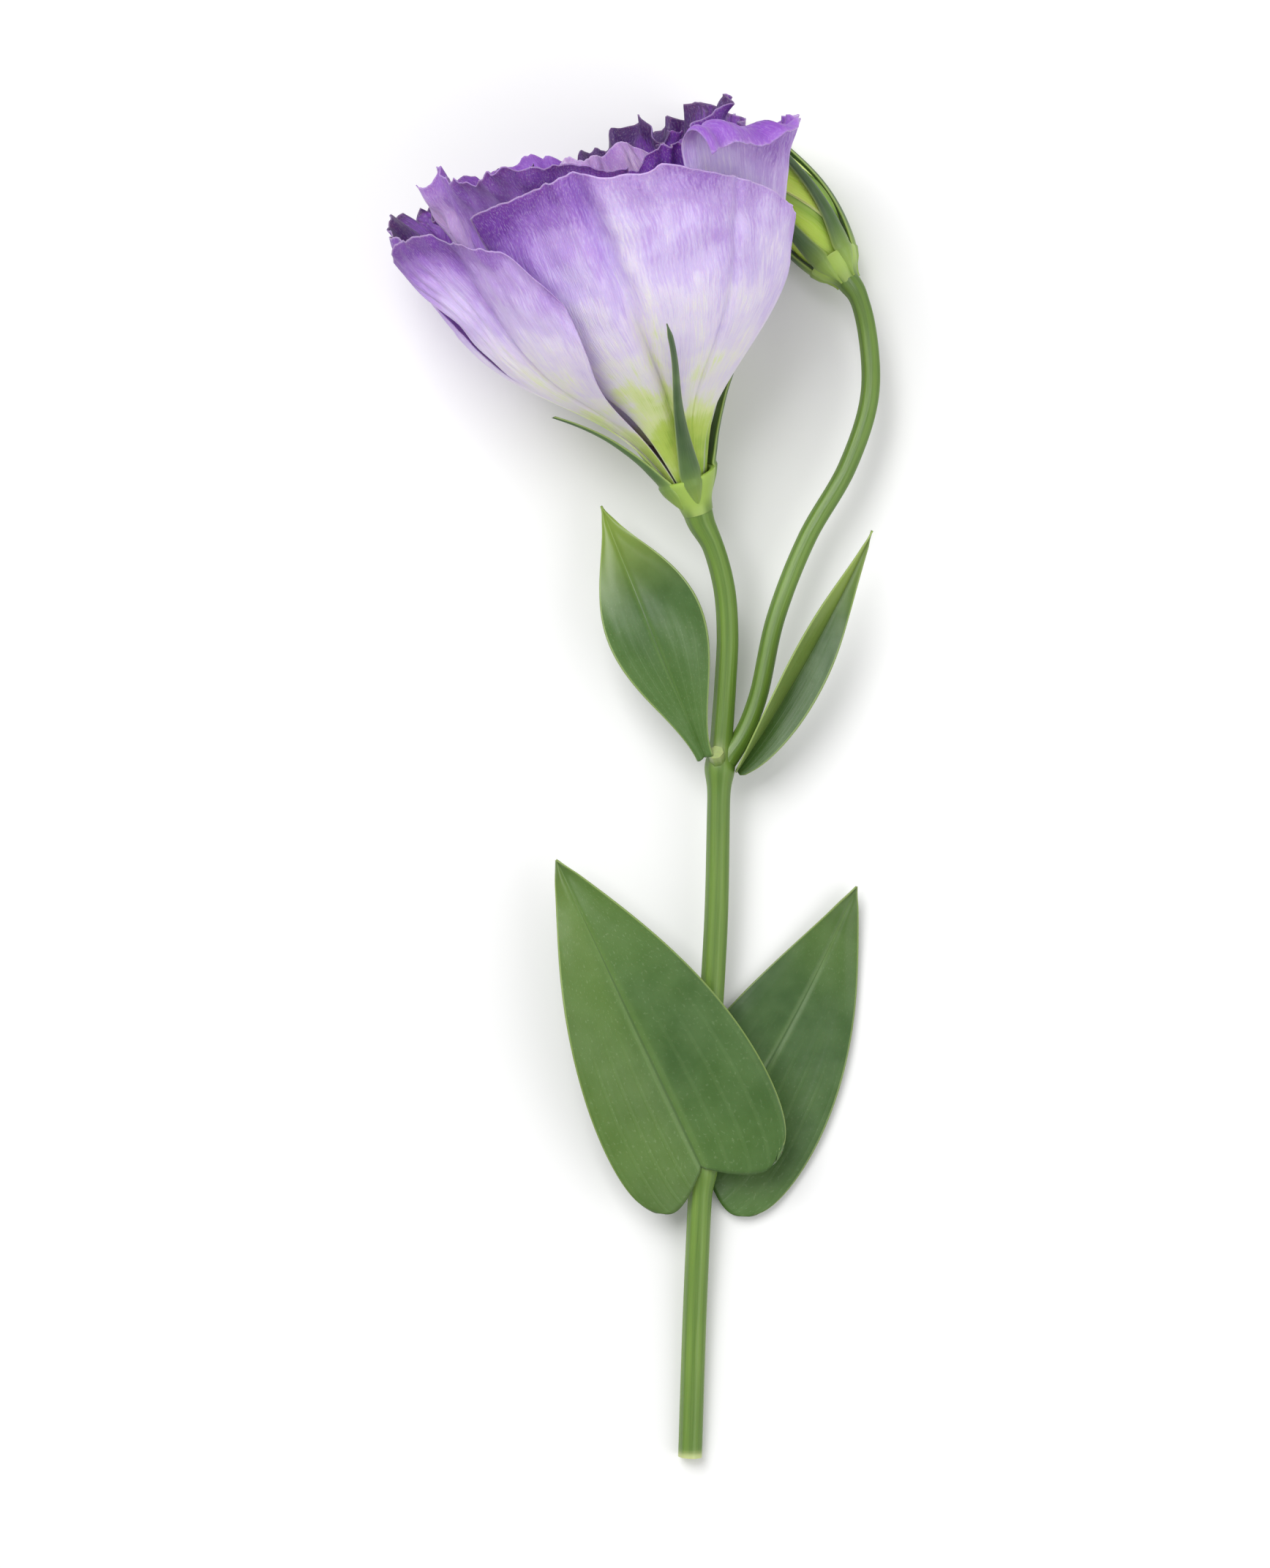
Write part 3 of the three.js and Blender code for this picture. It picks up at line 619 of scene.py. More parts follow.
def violet_and_painted_light_of(petal):
    """Patches of deeper violet, some of them painted shade and some paler ones painted light: place across
    and along, width across and along, strength.
    """
    def violet_and_painted_light(u, v):
        return sum(
            strength * bump(u - across, wide) * bump(v - along, long)
            for across, along, wide, long, strength in petal["violet_and_painted_light"]
        )
    return violet_and_painted_light


# %% [markdown]
# ## The five outer petals
#
# Going round the bloom from the front, each petal's right edge lies over the next one's left edge,
# and only the left petal lies over both its neighbours. The front petal is broad and even, with two
# soft folds. The right one comes to a peak, and its left part is folded out and down like a collar.
# The lower two lie under the others, and the rugged rim of one of them shows above the left petal.

# %% Outer petals
OUTER = {
    "layer": 0.94, "skew": (-0.09, 0.09), "start": 1.5, "widens": ((8, 37), (8, 37)), "drop_power": 2.6,
    "left_roll_between": (-0.5, 0.1), "roll_length": 8, "lean": 0, "ruffle": 0.9, "waves": (6, 11),
    "fringe": 0.45, "fold": 0.45, "notch": 0.5, "frill": 0.35, "frill_wave": 6, "frill_depth": 3,
    "crumple": 0.5, "left_rugged": 1, "creases": (),
}
OUTER_PETALS = {
    "front": {
        "turn": 16, "spread": (57, 62), "height": 59, "drop": (0.02, 0.33), "drop_power": 1.3,
        "peak": (-0.42, 3.5), "roll": (8, 16, 14), "phase": 0.4,
        "creases": ((-0.2, -0.38, 3.4, 0.06), (0.1, 0.42, 0.9, 0.03)),
        "violet_and_painted_light": (
            # Beside the deep crease on the left, the violet patch at -0.4 is painted shade and the paler
            # one at -0.24 a painted highlight.
            (-0.95, 0.95, 0.25, 0.4, 0.38), (-0.55, 1, 0.25, 0.35, 0.22), (-0.4, 0.6, 0.06, 0.3, 0.14),
            (-0.05, 0.3, 0.1, 0.3, 0.1), (0.24, 0.85, 0.11, 0.4, 0.13), (-0.24, 0.8, 0.07, 0.4, -0.08),
        ),
    },
    "right": {
        "turn": 92, "spread": (61, 56), "height": 54, "drop": (-0.12, 0.12), "drop_power": 1.2,
        "peak": (-0.8, 8), "roll": (170, 14, 12), "left_roll_between": (-0.75, -0.3),
        "roll_length": 11, "layer": 0.9, "lean": 2.5, "phase": 2, "notch": 1.4,
        "frill": 1.4, "frill_wave": 6.5, "frill_depth": 7,
        "violet_and_painted_light": (
            # The two deeper patches below the folded-out collar are partly the petal's own violet and
            # partly painted shade of the fold.
            (-0.7, 1.02, 0.5, 0.1, -0.3), (-0.5, 0.84, 0.5, 0.12, 0.22), (-0.1, 0.75, 0.3, 0.4, 0.12),
        ),
    },
    "lower_right": {
        "turn": 158, "spread": (52, 52), "height": 55, "drop": (0.05, 0.12), "peak": (-0.2, 1),
        "roll": (10, 40, 45), "phase": 3.2, "notch": 1.2, "frill": 1.5, "frill_wave": 7, "frill_depth": 8,
        # Deep violet, partly the petal's own and partly painted shade of the back ruffles.
        "violet_and_painted_light": ((0, 1, 0.8, 0.4, 0.5),),
    },
    "lower_left": {
        "turn": 222, "spread": (54, 50), "height": 57, "drop": (0.08, 0.04), "peak": (0.8, 0.5),
        "roll": (35, 45, -15), "layer": 0.93, "skew": (-0.09, 0.04), "phase": 4.1,
        "claw_share": 0.84, "widens": ((8, 37), (34, 56)), "violet_and_painted_light": ((0.6, 1, 0.8, 0.4, 0.45),),
        "notch": 1.4, "frill": 0.7, "frill_wave": 5, "frill_depth": 8, "crumple": 0.7,
        "left_rugged": 3,
    },
    "left": {
        "turn": 311, "spread": (26, 28), "height": 56.5, "drop": (0.02, 0.22), "drop_power": 4.5,
        "peak": (-0.3, 3), "roll": (5, 12, 14), "skew": (0.06, 0.055), "phase": 5.3,
        "claw_share": 0.2, "widens": ((42, 56), (8, 37)),
        "creases": ((-0.3, 0.0, 0.8, 0.12),),
        "violet_and_painted_light": ((-0.35, 0.97, 0.9, 0.18, 0.45), (-0.1, 0.6, 0.25, 0.3, 0.1)),
    },
}
PETAL_GRID = (110, 54)

outer = with_claws([
    {**OUTER, "seed": 1.7 * k, "place": place, **own}
    for k, (place, own) in enumerate(OUTER_PETALS.items())
])
print("widths of the claws in degrees:", [round(sum(petal["claws"])) for petal in outer])
for petal in outer:
    piece = bent_piece(
        f"petal_{petal['place']}", *PETAL_GRID, petal_surface(petal), PETAL_THICKNESS,
        PETAL_EDGE_SHARE, violet_and_painted_light_of(petal),
    )
    set_piece(piece, f"outer_petal_{petal['place']}", outer_finish)
print("outer petals:", [piece.name for piece in finished])

# %% [markdown]
# ## The whorls inside
#
# A double lisianthus has two or three more rounds of petals, smaller and more crumpled towards the
# heart. A whorl is a loop: each petal has its own height, roll, peak and lean, and all share one
# wave, so that neighbours ripple together instead of cutting through each other.

# %% Inner petals
INNER = {
    "drop": (0.12, 0.12), "drop_power": 2.6, "left_roll_between": (-0.5, 0.1), "notch": 1.0,
    "left_rugged": 1, "creases": (), "violet_and_painted_light": ((0, 1, 0.9, 0.4, 0.25),),
}
INNER_WHORLS = (
    {
        "name": "middle_petal", "first_turn": 22, "spread": (52, 52), "heights": (55, 55, 53, 54, 60),
        "rolls": (25, 35, 40, 50, 30), "peaks": (0.5, 1, 1, 1, 0.5), "leans": (0, 0, 1, 1, 0),
        "skews": ((-0.055, 0.055), (-0.055, 0.055), (-0.055, 0.055), (-0.055, -0.055), (0.075, 0.055)),
        "layer": 0.64, "start": 10, "widens": ((13, 38), (13, 38)), "roll_length": 9, "ruffle": 1.3,
        "waves": (7, 12), "fringe": 0.7, "fold": 0.5, "frill": 0.9, "frill_wave": 5.5, "frill_depth": 4,
        "crumple": 1.6, "finish": middle_finish,
        "own": {
            1: {"spread": (42, 52)},
            3: {
                "frill": 1.4, "frill_wave": 6, "frill_depth": 8, "crumple": 2,
                # Deep violet, partly the petal's own and partly painted shade of the back ruffles.
                "violet_and_painted_light": ((0, 1, 1.2, 0.3, 0.4),),
            },
            4: {
                "frill": 1.6, "frill_wave": 5.5, "frill_depth": 8, "crumple": 2.2,
                # Deep violet, partly the petal's own and partly painted shade of the back ruffles.
                "violet_and_painted_light": ((0, 1, 1.2, 0.3, 0.45),),
            },
            5: {
                "spread": (38, 62), "drop": (0, 0.04), "frill": 0.5, "crumple": 1,
                "violet_and_painted_light": (
                    # The paler patch along the left margin is partly the petal's pale margin and partly
                    # painted light on its lit side.
                    (-1, 0.9, 0.4, 0.6, -0.25), (-0.3, 0.75, 0.3, 0.3, 0.1), (0.6, 1, 0.3, 0.4, 0.1),
                ),
            },
        },
    },
    {
        "name": "inner_petal", "first_turn": 25, "spread": (52, 52), "heights": (53, 50, 48, 51, 52),
        "rolls": (-30, 30, 45, 60, 80), "peaks": (0.5, 1, 0.5, 1.5, 1), "leans": (-1, 1, 0, 1.5, 0),
        "skews": ((-0.045, 0.045),) * 5,
        "layer": 0.39, "start": 11, "widens": ((17, 40), (17, 40)), "roll_length": 8, "ruffle": 1.2,
        "waves": (6, 11), "fringe": 0.7, "fold": 0.4, "frill": 1.0, "frill_wave": 4.5, "frill_depth": 4,
        "crumple": 2, "finish": inner_finish,
        "own": {
            1: {
                "drop": (0, 0.25), "frill": 0.25, "notch": 0.3, "crumple": 0.8, "ruffle": 0.6,
                "fringe": 0.3,
            },
            4: {"frill": 1.8, "frill_wave": 3.5, "frill_depth": 6, "crumple": 2.5},
            5: {"frill": 2, "frill_wave": 3.5, "frill_depth": 7, "crumple": 3},
        },
    },
    {
        "name": "heart_petal", "first_turn": 70, "spread": (70, 70), "heights": (46, 44, 46),
        "rolls": (-30, 40, -20), "peaks": (0.5, 1, 0.5), "leans": (0, 0, 0),
        "skews": ((-0.04, 0.04),) * 3, "layer": 0.19,
        "start": 14, "widens": ((20, 40), (20, 40)), "roll_length": 7, "ruffle": 0.8,
        "waves": (4, 7), "fringe": 0.7, "fold": 0.2, "frill": 0.5, "frill_wave": 4, "frill_depth": 3,
        "crumple": 0.6, "finish": heart_finish, "own": {},
    },
)
PALE_PETAL = "inner_petal_1"


def whorl_petals(whorl):
    """The petals of one whorl, each made a little different from the last by a fixed rule."""
    petals = []
    step = 360 / len(whorl["heights"])
    for k, height in enumerate(whorl["heights"]):
        full = whorl["rolls"][k]
        petals.append({
            **INNER, **whorl, "height": height, "turn": whorl["first_turn"] + step * k,
            "peak": (0.3 * math.cos(2 * k), whorl["peaks"][k]), "lean": whorl["leans"][k],
            "skew": whorl["skews"][k],
            **whorl["own"].get(k + 1, {}),
            "roll": (full, full, 0) if full < 0 else (0, full, 0.8 * full),
            "phase": 1.3 * k, "seed": 10 * whorl["layer"] + 2.1 * k,
        })
    return with_claws(petals)


for whorl in INNER_WHORLS:
    for k, petal in enumerate(whorl_petals(whorl)):
        node = f"{whorl['name']}_{k + 1}"
        piece = bent_piece(
            f"ruffled_{node}", *PETAL_GRID, petal_surface(petal), PETAL_THICKNESS,
            PETAL_EDGE_SHARE, violet_and_painted_light_of(petal),
        )
        pale = node == PALE_PETAL
        set_piece(piece, node, heart_finish if pale else whorl["finish"])
print("pieces after the inner whorls:", len(finished))

# %% [markdown]
# ## The finish of the stem
#
# A lisianthus stem has a smooth waxy green skin with a few faint ribs, and it is pale where it was
# cut. A sine wave round the roll gives each rib its lighter stripe. The pale cuts come from the tint
# that is stored on the mesh, because only the mesh knows where the stem ends.

# %% Stem finish
STEM_RIBS = 7


def stem_finish():
    material, tree, shader = new_material("stem_finish", Roughness=0.38, Subsurface_Weight=0.08,
                                          Subsurface_Scale=1.5 * MM)
    around, _ = uv_parts(tree)
    ribs = maths(tree, "SINE", maths(tree, "MULTIPLY", around, 2 * math.pi * STEM_RIBS))
    ribs = span(tree, ribs, -1.0, 1.0)
    grain = fibres(tree, 40, 12)
    patches = clouds(tree, 45)
    colour = blended(tree, ribs, rgb(84, 116, 38), rgb(102, 134, 48))
    colour = blended(tree, maths(tree, "MULTIPLY", grain, 0.25), colour, rgb(140, 166, 82))
    colour = blended(tree, maths(tree, "MULTIPLY", patches, 0.35), colour, rgb(68, 98, 38))
    colour = blended(tree, stored(tree, "tint"), colour, rgb(206, 214, 150))
    tree.links.new(colour, shader.inputs["Base Color"])
    raised(tree, shader, grain, 0.04, 0.6)
    return material


# %% [markdown]
# ## The finish of the sepals
#
# A sepal is dark green with a thin pale border. It is a rolled grid, so its two sharp borders lie at
# the start of the roll and half way round it, and a mask finds both from the UV map. The tint stored
# on the mesh turns the cup between the sepals lime.

# %% Sepal finish
def sepal_finish():
    material, tree, shader = new_material("sepal_finish", Roughness=0.42, Subsurface_Weight=0.06,
                                          Subsurface_Scale=1.0 * MM)
    around, _ = uv_parts(tree)
    within_half = maths(tree, "FRACT", maths(tree, "MULTIPLY", around, 2.0))
    border = maths(tree, "ABSOLUTE", maths(tree, "SUBTRACT", within_half, 0.5))
    border = span(tree, border, 0.28, 0.44)
    grain = fibres(tree, 30, 6)
    patches = clouds(tree, 90)
    colour = blended(tree, patches, rgb(52, 80, 42), rgb(84, 114, 58))
    colour = blended(tree, maths(tree, "MULTIPLY", grain, 0.25), colour, rgb(100, 130, 76))
    colour = blended(tree, maths(tree, "MULTIPLY", border, 0.7), colour, rgb(168, 190, 108))
    colour = blended(tree, stored(tree, "tint"), colour, rgb(166, 196, 84))
    tree.links.new(colour, shader.inputs["Base Color"])
    raised(tree, shader, grain, 0.05, 0.6)
    return material


# %% [markdown]
# ## The finish of the leaves
#
# A leaf is dark green and a little cloudy. Its midrib is a dark line in a lighter band, and its side
# veins run with the midrib and fade out above the middle. Its bloom of wax is rubbed off in small
# marks. The back and the thin border are paler. Each of these is a mask that mixes one more colour
# in, so each can be tuned on its own.

# %% Leaf finish
VEINS_PER_HALF = 4.5


def leaf_finish():
    material, tree, shader = new_material("leaf_finish", Roughness=0.38, Subsurface_Weight=0.05,
                                          Subsurface_Scale=1.0 * MM, Sheen_Weight=0.04)
    across, along = uv_parts(tree)
    off_midrib = maths(tree, "ABSOLUTE", maths(tree, "SUBTRACT", across, 0.5))
    midrib = span(tree, off_midrib, 0.002, 0.014, 1.0, 0.0)
    beside = span(tree, off_midrib, 0.015, 0.06, 1.0, 0.0)
    veins = maths(tree, "SINE", maths(tree, "MULTIPLY", off_midrib, 4 * math.pi * VEINS_PER_HALF))
    veins = maths(tree, "MULTIPLY", span(tree, veins, 0.7, 1.0), span(tree, along, 0.3, 0.6, 1.0, 0.0))
    patches = clouds(tree, 30)
    small = clouds(tree, 240, 5)
    rubbed = maths(tree, "MULTIPLY", span(tree, fibres(tree, 60, 90, 9), 0.75, 1.0), patches)
    colour = blended(tree, patches, rgb(40, 74, 22), rgb(68, 102, 36))
    colour = blended(tree, maths(tree, "MULTIPLY", small, 0.15), colour, rgb(108, 138, 84))
    colour = blended(tree, maths(tree, "MULTIPLY", veins, 0.08), colour, rgb(116, 144, 88))
    colour = blended(tree, maths(tree, "MULTIPLY", rubbed, 0.18), colour, rgb(160, 180, 140))
    colour = blended(tree, maths(tree, "MULTIPLY", beside, 0.25), colour, rgb(104, 136, 66))
    colour = blended(tree, maths(tree, "MULTIPLY", midrib, 0.6), colour, rgb(50, 78, 34))
    # The stored tint is the yellower tip and, on the half that the light shines through, a painted glow.
    colour = blended(tree, stored(tree, "tint"), colour, rgb(140, 164, 62))
    pale_back = maths(tree, "MULTIPLY", stored(tree, "inner"), 0.35)
    colour = blended(tree, pale_back, colour, rgb(118, 144, 92))
    border = span(tree, stored(tree, "edge"), 0.1, 0.35, 0.5, 0.0)
    colour = blended(tree, border, colour, rgb(156, 178, 100))
    tree.links.new(colour, shader.inputs["Base Color"])
    relief = maths(tree, "ADD", maths(tree, "MULTIPLY", veins, 0.4), maths(tree, "MULTIPLY", small, 0.5))
    raised(tree, shader, relief, 0.08, 0.6)
    return material


# %% [markdown]
# ## The finish of the bud
#
# The closed petals of the bud are yellow-green. Each is pale along its free edge and is painted
# darker towards the next edge that lies over it, as painted shade under that edge, so one row of
# colours runs over each petal's width. The foot is greener and the tip is cream.

# %% Bud finish
BUD_PETALS = 5


def bud_finish():
    material, tree, shader = new_material("bud_finish", Roughness=0.45, Subsurface_Weight=0.12,
                                          Subsurface_Scale=2 * MM)
    around, along = uv_parts(tree)
    within = maths(tree, "FRACT", maths(tree, "MULTIPLY", around, float(BUD_PETALS)))
    lines = fibres(tree, 90, 4, 7)
    # From the middle stop to the last, the darkening is painted shade towards the edge of the next petal
    # that lies over it.
    colour = ramp(tree, within, [
        (0.0, rgb(232, 240, 160)), (0.08, rgb(204, 232, 90)), (0.5, rgb(188, 222, 66)),
        (0.94, rgb(140, 184, 58)), (1.0, rgb(96, 140, 50)),
    ])
    colour = blended(tree, maths(tree, "MULTIPLY", lines, 0.3), colour, rgb(214, 226, 130))
    tip = span(tree, along, 0.72, 1.0, 0.0, 0.7)
    colour = blended(tree, tip, colour, rgb(214, 218, 140))
    foot = span(tree, along, 0.0, 0.3, 0.5, 0.0)
    colour = blended(tree, foot, colour, rgb(120, 156, 66))
    tree.links.new(colour, shader.inputs["Base Color"])
    raised(tree, shader, lines, 0.1, 0.6)
    return material


# %% [markdown]
# ## The finish of the pistil
#
# The pistil is yellow-green and finely grained. Little of it shows, so cloudy patches of two colours
# and a fine relief are enough.

# %% Pistil finish
def pistil_finish():
    material, tree, shader = new_material("pistil_finish", Roughness=0.4)
    colour = blended(tree, clouds(tree, 300), rgb(150, 178, 70), rgb(206, 214, 110))
    tree.links.new(colour, shader.inputs["Base Color"])
    raised(tree, shader, clouds(tree, 1500), 0.05, 0.5)
    return material


green = {
    "stem": stem_finish(), "sepal": sepal_finish(), "leaf": leaf_finish(), "bud": bud_finish(),
    "pistil": pistil_finish(),
}
print("green finishes:", [material.name for material in green.values()])

# %% [markdown]
# ## The stem
#
# The lower stem, both nodes, the two flower stalks and the small cut stub grew as one. Each branch
# follows a smooth line through a few chosen points. The line goes through every point without a
# kink, which suits a stalk better than a curve that is pulled into shape by handles.

# %% A smooth line through points
def heading(before, at, after, gap_before, gap_after):
    """Which way and how fast the line passes a point, from its neighbours on both sides."""
    from_before = (at - before) / gap_before
    over_both = (after - before) / (gap_before + gap_after)
    to_after = (after - at) / gap_after
    return from_before - over_both + to_after


def spline(points, parts_per_span=24):
    """Closely spaced points along a smooth line that goes through all the given points."""
    ends = [points[0] * 2 - points[1], *points, points[-1] * 2 - points[-2]]
    line = []
    for before, start, end, after in zip(ends, ends[1:], ends[2:], ends[3:]):
        gaps = [math.sqrt((b - a).length) for a, b in ((before, start), (start, end), (end, after))]
        leave = heading(before, start, end, gaps[0], gaps[1]) * gaps[1]
        reach = heading(start, end, after, gaps[1], gaps[2]) * gaps[1]
        for k in range(parts_per_span):
            t = k / parts_per_span
            line.append(
                start * (2 * t**3 - 3 * t**2 + 1) + leave * (t**3 - 2 * t**2 + t)
                + end * (3 * t**2 - 2 * t**3) + reach * (t**3 - t**2)
            )
    line.append(points[-1].copy())
    return line


print("a line through three points has", len(spline([Vector((x, x * x, 0)) for x in (0, 1, 2)])), "points")


# %% Rings along a line
def rings_along(line):
    """Centres, two directions across and the share of the length, carried along the line."""
    lengths = [0.0]
    for a, b in zip(line, line[1:]):
        lengths.append(lengths[-1] + (b - a).length)
    behind = line[:1] + line[:-1]
    ahead = line[1:] + line[-1:]
    tangents = [(after - before).normalized() for before, after in zip(behind, ahead)]
    side = Vector((0, 0, 1)).cross(tangents[0]).normalized()
    sides = []
    for tangent in tangents:
        side = (side - tangent * side.dot(tangent)).normalized()
        sides.append(side.copy())
    shares = [length / lengths[-1] for length in lengths]
    return [(c, s, t.cross(s), share) for c, s, t, share in zip(line, sides, tangents, shares)]


# %% [markdown]
# ## A ribbed stalk
#
# A stalk is a rolled grid whose rings sit along such a line. Two directions across are carried from
# ring to ring, so the tube never twists, and a low wave round each ring gives it faint ribs.

# %% A ribbed stalk
RIB_DEPTH = 0.05


def stalk_piece(name, points, radius_at, sides, steps):
    rings = rings_along(spline(points))
    shares = np.array([ring[3] for ring in rings])

    def surface(angle, v):
        index = min(int(np.searchsorted(shares, v)), len(rings) - 1)
        low = rings[max(index - 1, 0)]
        high = rings[index]
        part = (v - low[3]) / (high[3] - low[3]) if high[3] > low[3] else 0
        centre = low[0].lerp(high[0], part)
        radius = radius_at(v, centre) + RIB_DEPTH * math.cos(STEM_RIBS * angle)
        return centre + high[1] * (radius * math.cos(angle)) + high[2] * (radius * math.sin(angle))

    return rolled_piece(name, sides, steps, surface)


# %% [markdown]
# ## The branches of the stem
#
# The stem swells at each pair of leaves and thins slowly towards the bloom. Below the bloom and the
# bud it widens again into the seat that carries the calyx. The points of each branch are those of the
# CAD, so the finer stem lies where the solid one does.

# %% Points along the branches
STEM_RADIUS = 2.05
STEM_TOP_RADIUS = 1.85
BLOOM_SEAT_SWELL = 1.36
BUD_STALK_RADIUS = 1.6
BUD_SEAT_RADIUS = 2
BUD_STALK_FOOT_SWELL = 0.3
STUB_RADIUS = 1.3
NODE_SWELL = 1.35
NODE_LENGTH = 2.6
GROUND_FLAT = 0.25
CALYX_FOOT = -4
BUD_FOOT = -2.6
FIT_GAP = 0.3
SUNK = 0.8
UPPER_NODE = Vector((0.5, 38.4, 8.4))
LOWER_NODE = Vector((-2.6, -30.4, 5))
CUT_END = Vector((-4.5, -80, STEM_RADIUS - GROUND_FLAT))
BUD_BASE = Vector((21.2, 123, 8.8))
BUD_TIP = Vector((5.9, 146, 4))
BUD_AXIS = (BUD_TIP - BUD_BASE).normalized()
BUD_RIGHT = BUD_AXIS.cross(Vector((0, 0, 1))).normalized()
BUD_FRONT = BUD_RIGHT.cross(BUD_AXIS)

bloom_end = BLOOM_BASE + BLOOM_AXIS * (CALYX_FOOT - FIT_GAP)
bud_end = BUD_BASE + BUD_AXIS * (BUD_FOOT - FIT_GAP)
TRUNK = [
    CUT_END, Vector((-3.7, -55, 3.2)), LOWER_NODE, Vector((-1.4, -10, 5.8)), Vector((-0.1, 12.5, 6.9)),
    UPPER_NODE, Vector((1.4, 52, 9.3)), Vector((1.8, 61, 10)), Vector((1.2, 69, 10.8)),
    Vector((-0.7, 76, 11.7)), bloom_end - BLOOM_AXIS * 1.5, bloom_end + BLOOM_AXIS * SUNK,
]
BUD_STALK = [
    UPPER_NODE, Vector((4.2, 43.5, 8.6)), Vector((6.9, 50.1, 8.8)), Vector((10, 63.8, 9)),
    Vector((15.4, 77.6, 9.1)), Vector((22.2, 89.6, 9.2)), Vector((26, 101.6, 9.3)),
    Vector((25.6, 112.5, 9.3)), bud_end - BUD_AXIS * 2, bud_end + BUD_AXIS * SUNK,
]
STUB = [UPPER_NODE, Vector((-0.1, 40.4, 11.2)), Vector((-0.3, 41, 12))]
print("points in the stem, the bud's stalk and the stub:", [len(b) for b in (TRUNK, BUD_STALK, STUB)])


# %% Stem
CUT_PALENESS = 0.8


def trunk_radius(v, centre):
    swell = max(bump((centre - node).length, NODE_LENGTH) for node in (LOWER_NODE, UPPER_NODE))
    taper = mix(STEM_RADIUS, STEM_TOP_RADIUS, smooth(0.5, 0.9, v))
    seat = mix(1, BLOOM_SEAT_SWELL, smooth(0.955, 1, v))
    return taper * seat * (1 + (NODE_SWELL - 1) * swell)


def bud_stalk_radius(v, centre):
    swell = 1 + BUD_STALK_FOOT_SWELL * bump(v, 0.05)
    return mix(BUD_STALK_RADIUS, BUD_SEAT_RADIUS, smooth(0.95, 1, v)) * swell


stem = joined("stem_and_stalks", [
    stalk_piece("trunk", TRUNK, trunk_radius, sides=42, steps=320),
    stalk_piece("bud_stalk", BUD_STALK, bud_stalk_radius, sides=35, steps=150),
    stalk_piece("cut_stub", STUB, lambda v, centre: STUB_RADIUS, sides=56, steps=12),
])
cut_end = placed(CUT_END)
stub_end = placed(STUB[-1])
store(stem, "tint", [
    CUT_PALENESS * max(bump((v.co.y - cut_end.y) / MM, 0.8), bump((v.co - stub_end).length / MM, 1.6))
    for v in stem.data.vertices
])
set_piece(stem, "stem", green["stem"])
print("stem faces:", len(stem.data.polygons))

# %% [markdown]
# ## Sepals
#
# A sepal is a narrow blade with a keel down its back, broad at its root and soon thread-thin. In
# section it is a flat D: the keel outside, nearly flat inside. A rolled grid with that section gives
# the keel and the sharp borders in one piece, and a cup round the foot of the flower carries them.

# %% Sepals
SEPAL_HALF = 0.28
SEPAL_GRID = (24, 60)
ROOT_SUNK = 0.75


def sepal_piece(name, frame_point, spec):
    def surface(angle, v):
        height = mix(spec["start"], spec["end"], v)
        broad = mix(spec["tip"], spec["root"], (1 - v) ** 3)
        pointed_tip = 1 - 0.75 * smooth(0.93, 1, v)
        narrow_foot = mix(0.05, 1, smooth(0, 0.22, v))
        half_width = (broad + 0.5 * (1 - v)) * pointed_tip * narrow_foot
        across, out = math.cos(angle), math.sin(angle)
        keel = spec["keel"] * smooth(0, 0.2, v) * (1 - 0.7 * v) + SEPAL_HALF
        depth = keel * out**1.6 if out > 0 else -SEPAL_HALF * abs(out) ** 0.6
        radius = spec["radius_at"](height, v) - ROOT_SUNK * (1 - smooth(0, 0.08, v))
        turn = math.radians(spec["turn"]) + across * half_width / radius
        curl = spec["curl"] * v**3 * math.sin(9 * v + spec["turn"])
        return frame_point(radius + depth, turn + curl / radius, height)
    return rolled_piece(name, *SEPAL_GRID, surface)


# %% Cups
CUP_SIDES = 48
KEEL_SUNK = 0.1


def cup_piece(name, frame_point, profile):
    """A wall turned round the flower's foot. Its profile goes up outside and comes down inside."""
    line = spline([Vector((radius, height, 0)) for radius, height in profile], 4)
    steps = len(line) - 1

    def surface(angle, v):
        radius, height, _ = line[round(v * steps)]
        return frame_point(radius, angle, height)

    return rolled_piece(name, CUP_SIDES, steps, surface)


def on_cup(height, wall):
    """The radius of the outer wall of a cup, for the foot of a sepal that runs down it."""
    radii, heights = zip(*wall)
    return float(np.interp(height, heights, radii)) - KEEL_SUNK if height < heights[-1] else 0


def lime_cup(calyx, cup_corners, foot):
    """The cup between the sepals is lime. The sepals are lime only where they meet the stalk."""
    tints = []
    for corner in calyx.data.vertices:
        away = (corner.co - placed(foot)).length / MM
        lime_root = 0.65 * (1 - smooth(4, 12, away))
        tints.append(0.85 * smooth(1, 5, away) if corner.index < cup_corners else lime_root)
    return tints


# %% [markdown]
# ## The calyx of the bloom
#
# Five sepals stand round the bloom, each with its own turn and length. The petals lie inside them,
# so a sepal's distance from the axis follows the goblet with a small gap. Each turn and length is a
# value in one row, and a loop makes the sepals from it.

# %% Calyx of the bloom
BLOOM_SEPALS = ((7, 35, 0.3), (110, 31, 0.5), (165, 25, 0.2), (229, 25, 0.2), (301, 22, 2))
BLOOM_CLEAR = SOLID_PETAL_THICKNESS / 2 + FIT_GAP
BLOOM_CUP_THICKNESS = 0.8


def bloom_inside(height):
    return OUTER["layer"] * goblet_radius(height) + BLOOM_CLEAR


def bloom_outside(height):
    return bloom_inside(height) + BLOOM_CUP_THICKNESS


def pressed_in_bloom(radius, turn, height):
    return in_bloom(pressed_radius(radius, turn, height), turn, height)


BLOOM_CUP_WALL = [
    (2.6, CALYX_FOOT), (3, -2.2), (3.8, -0.4), (bloom_outside(1), 1), (bloom_outside(2.8), 2.8),
]


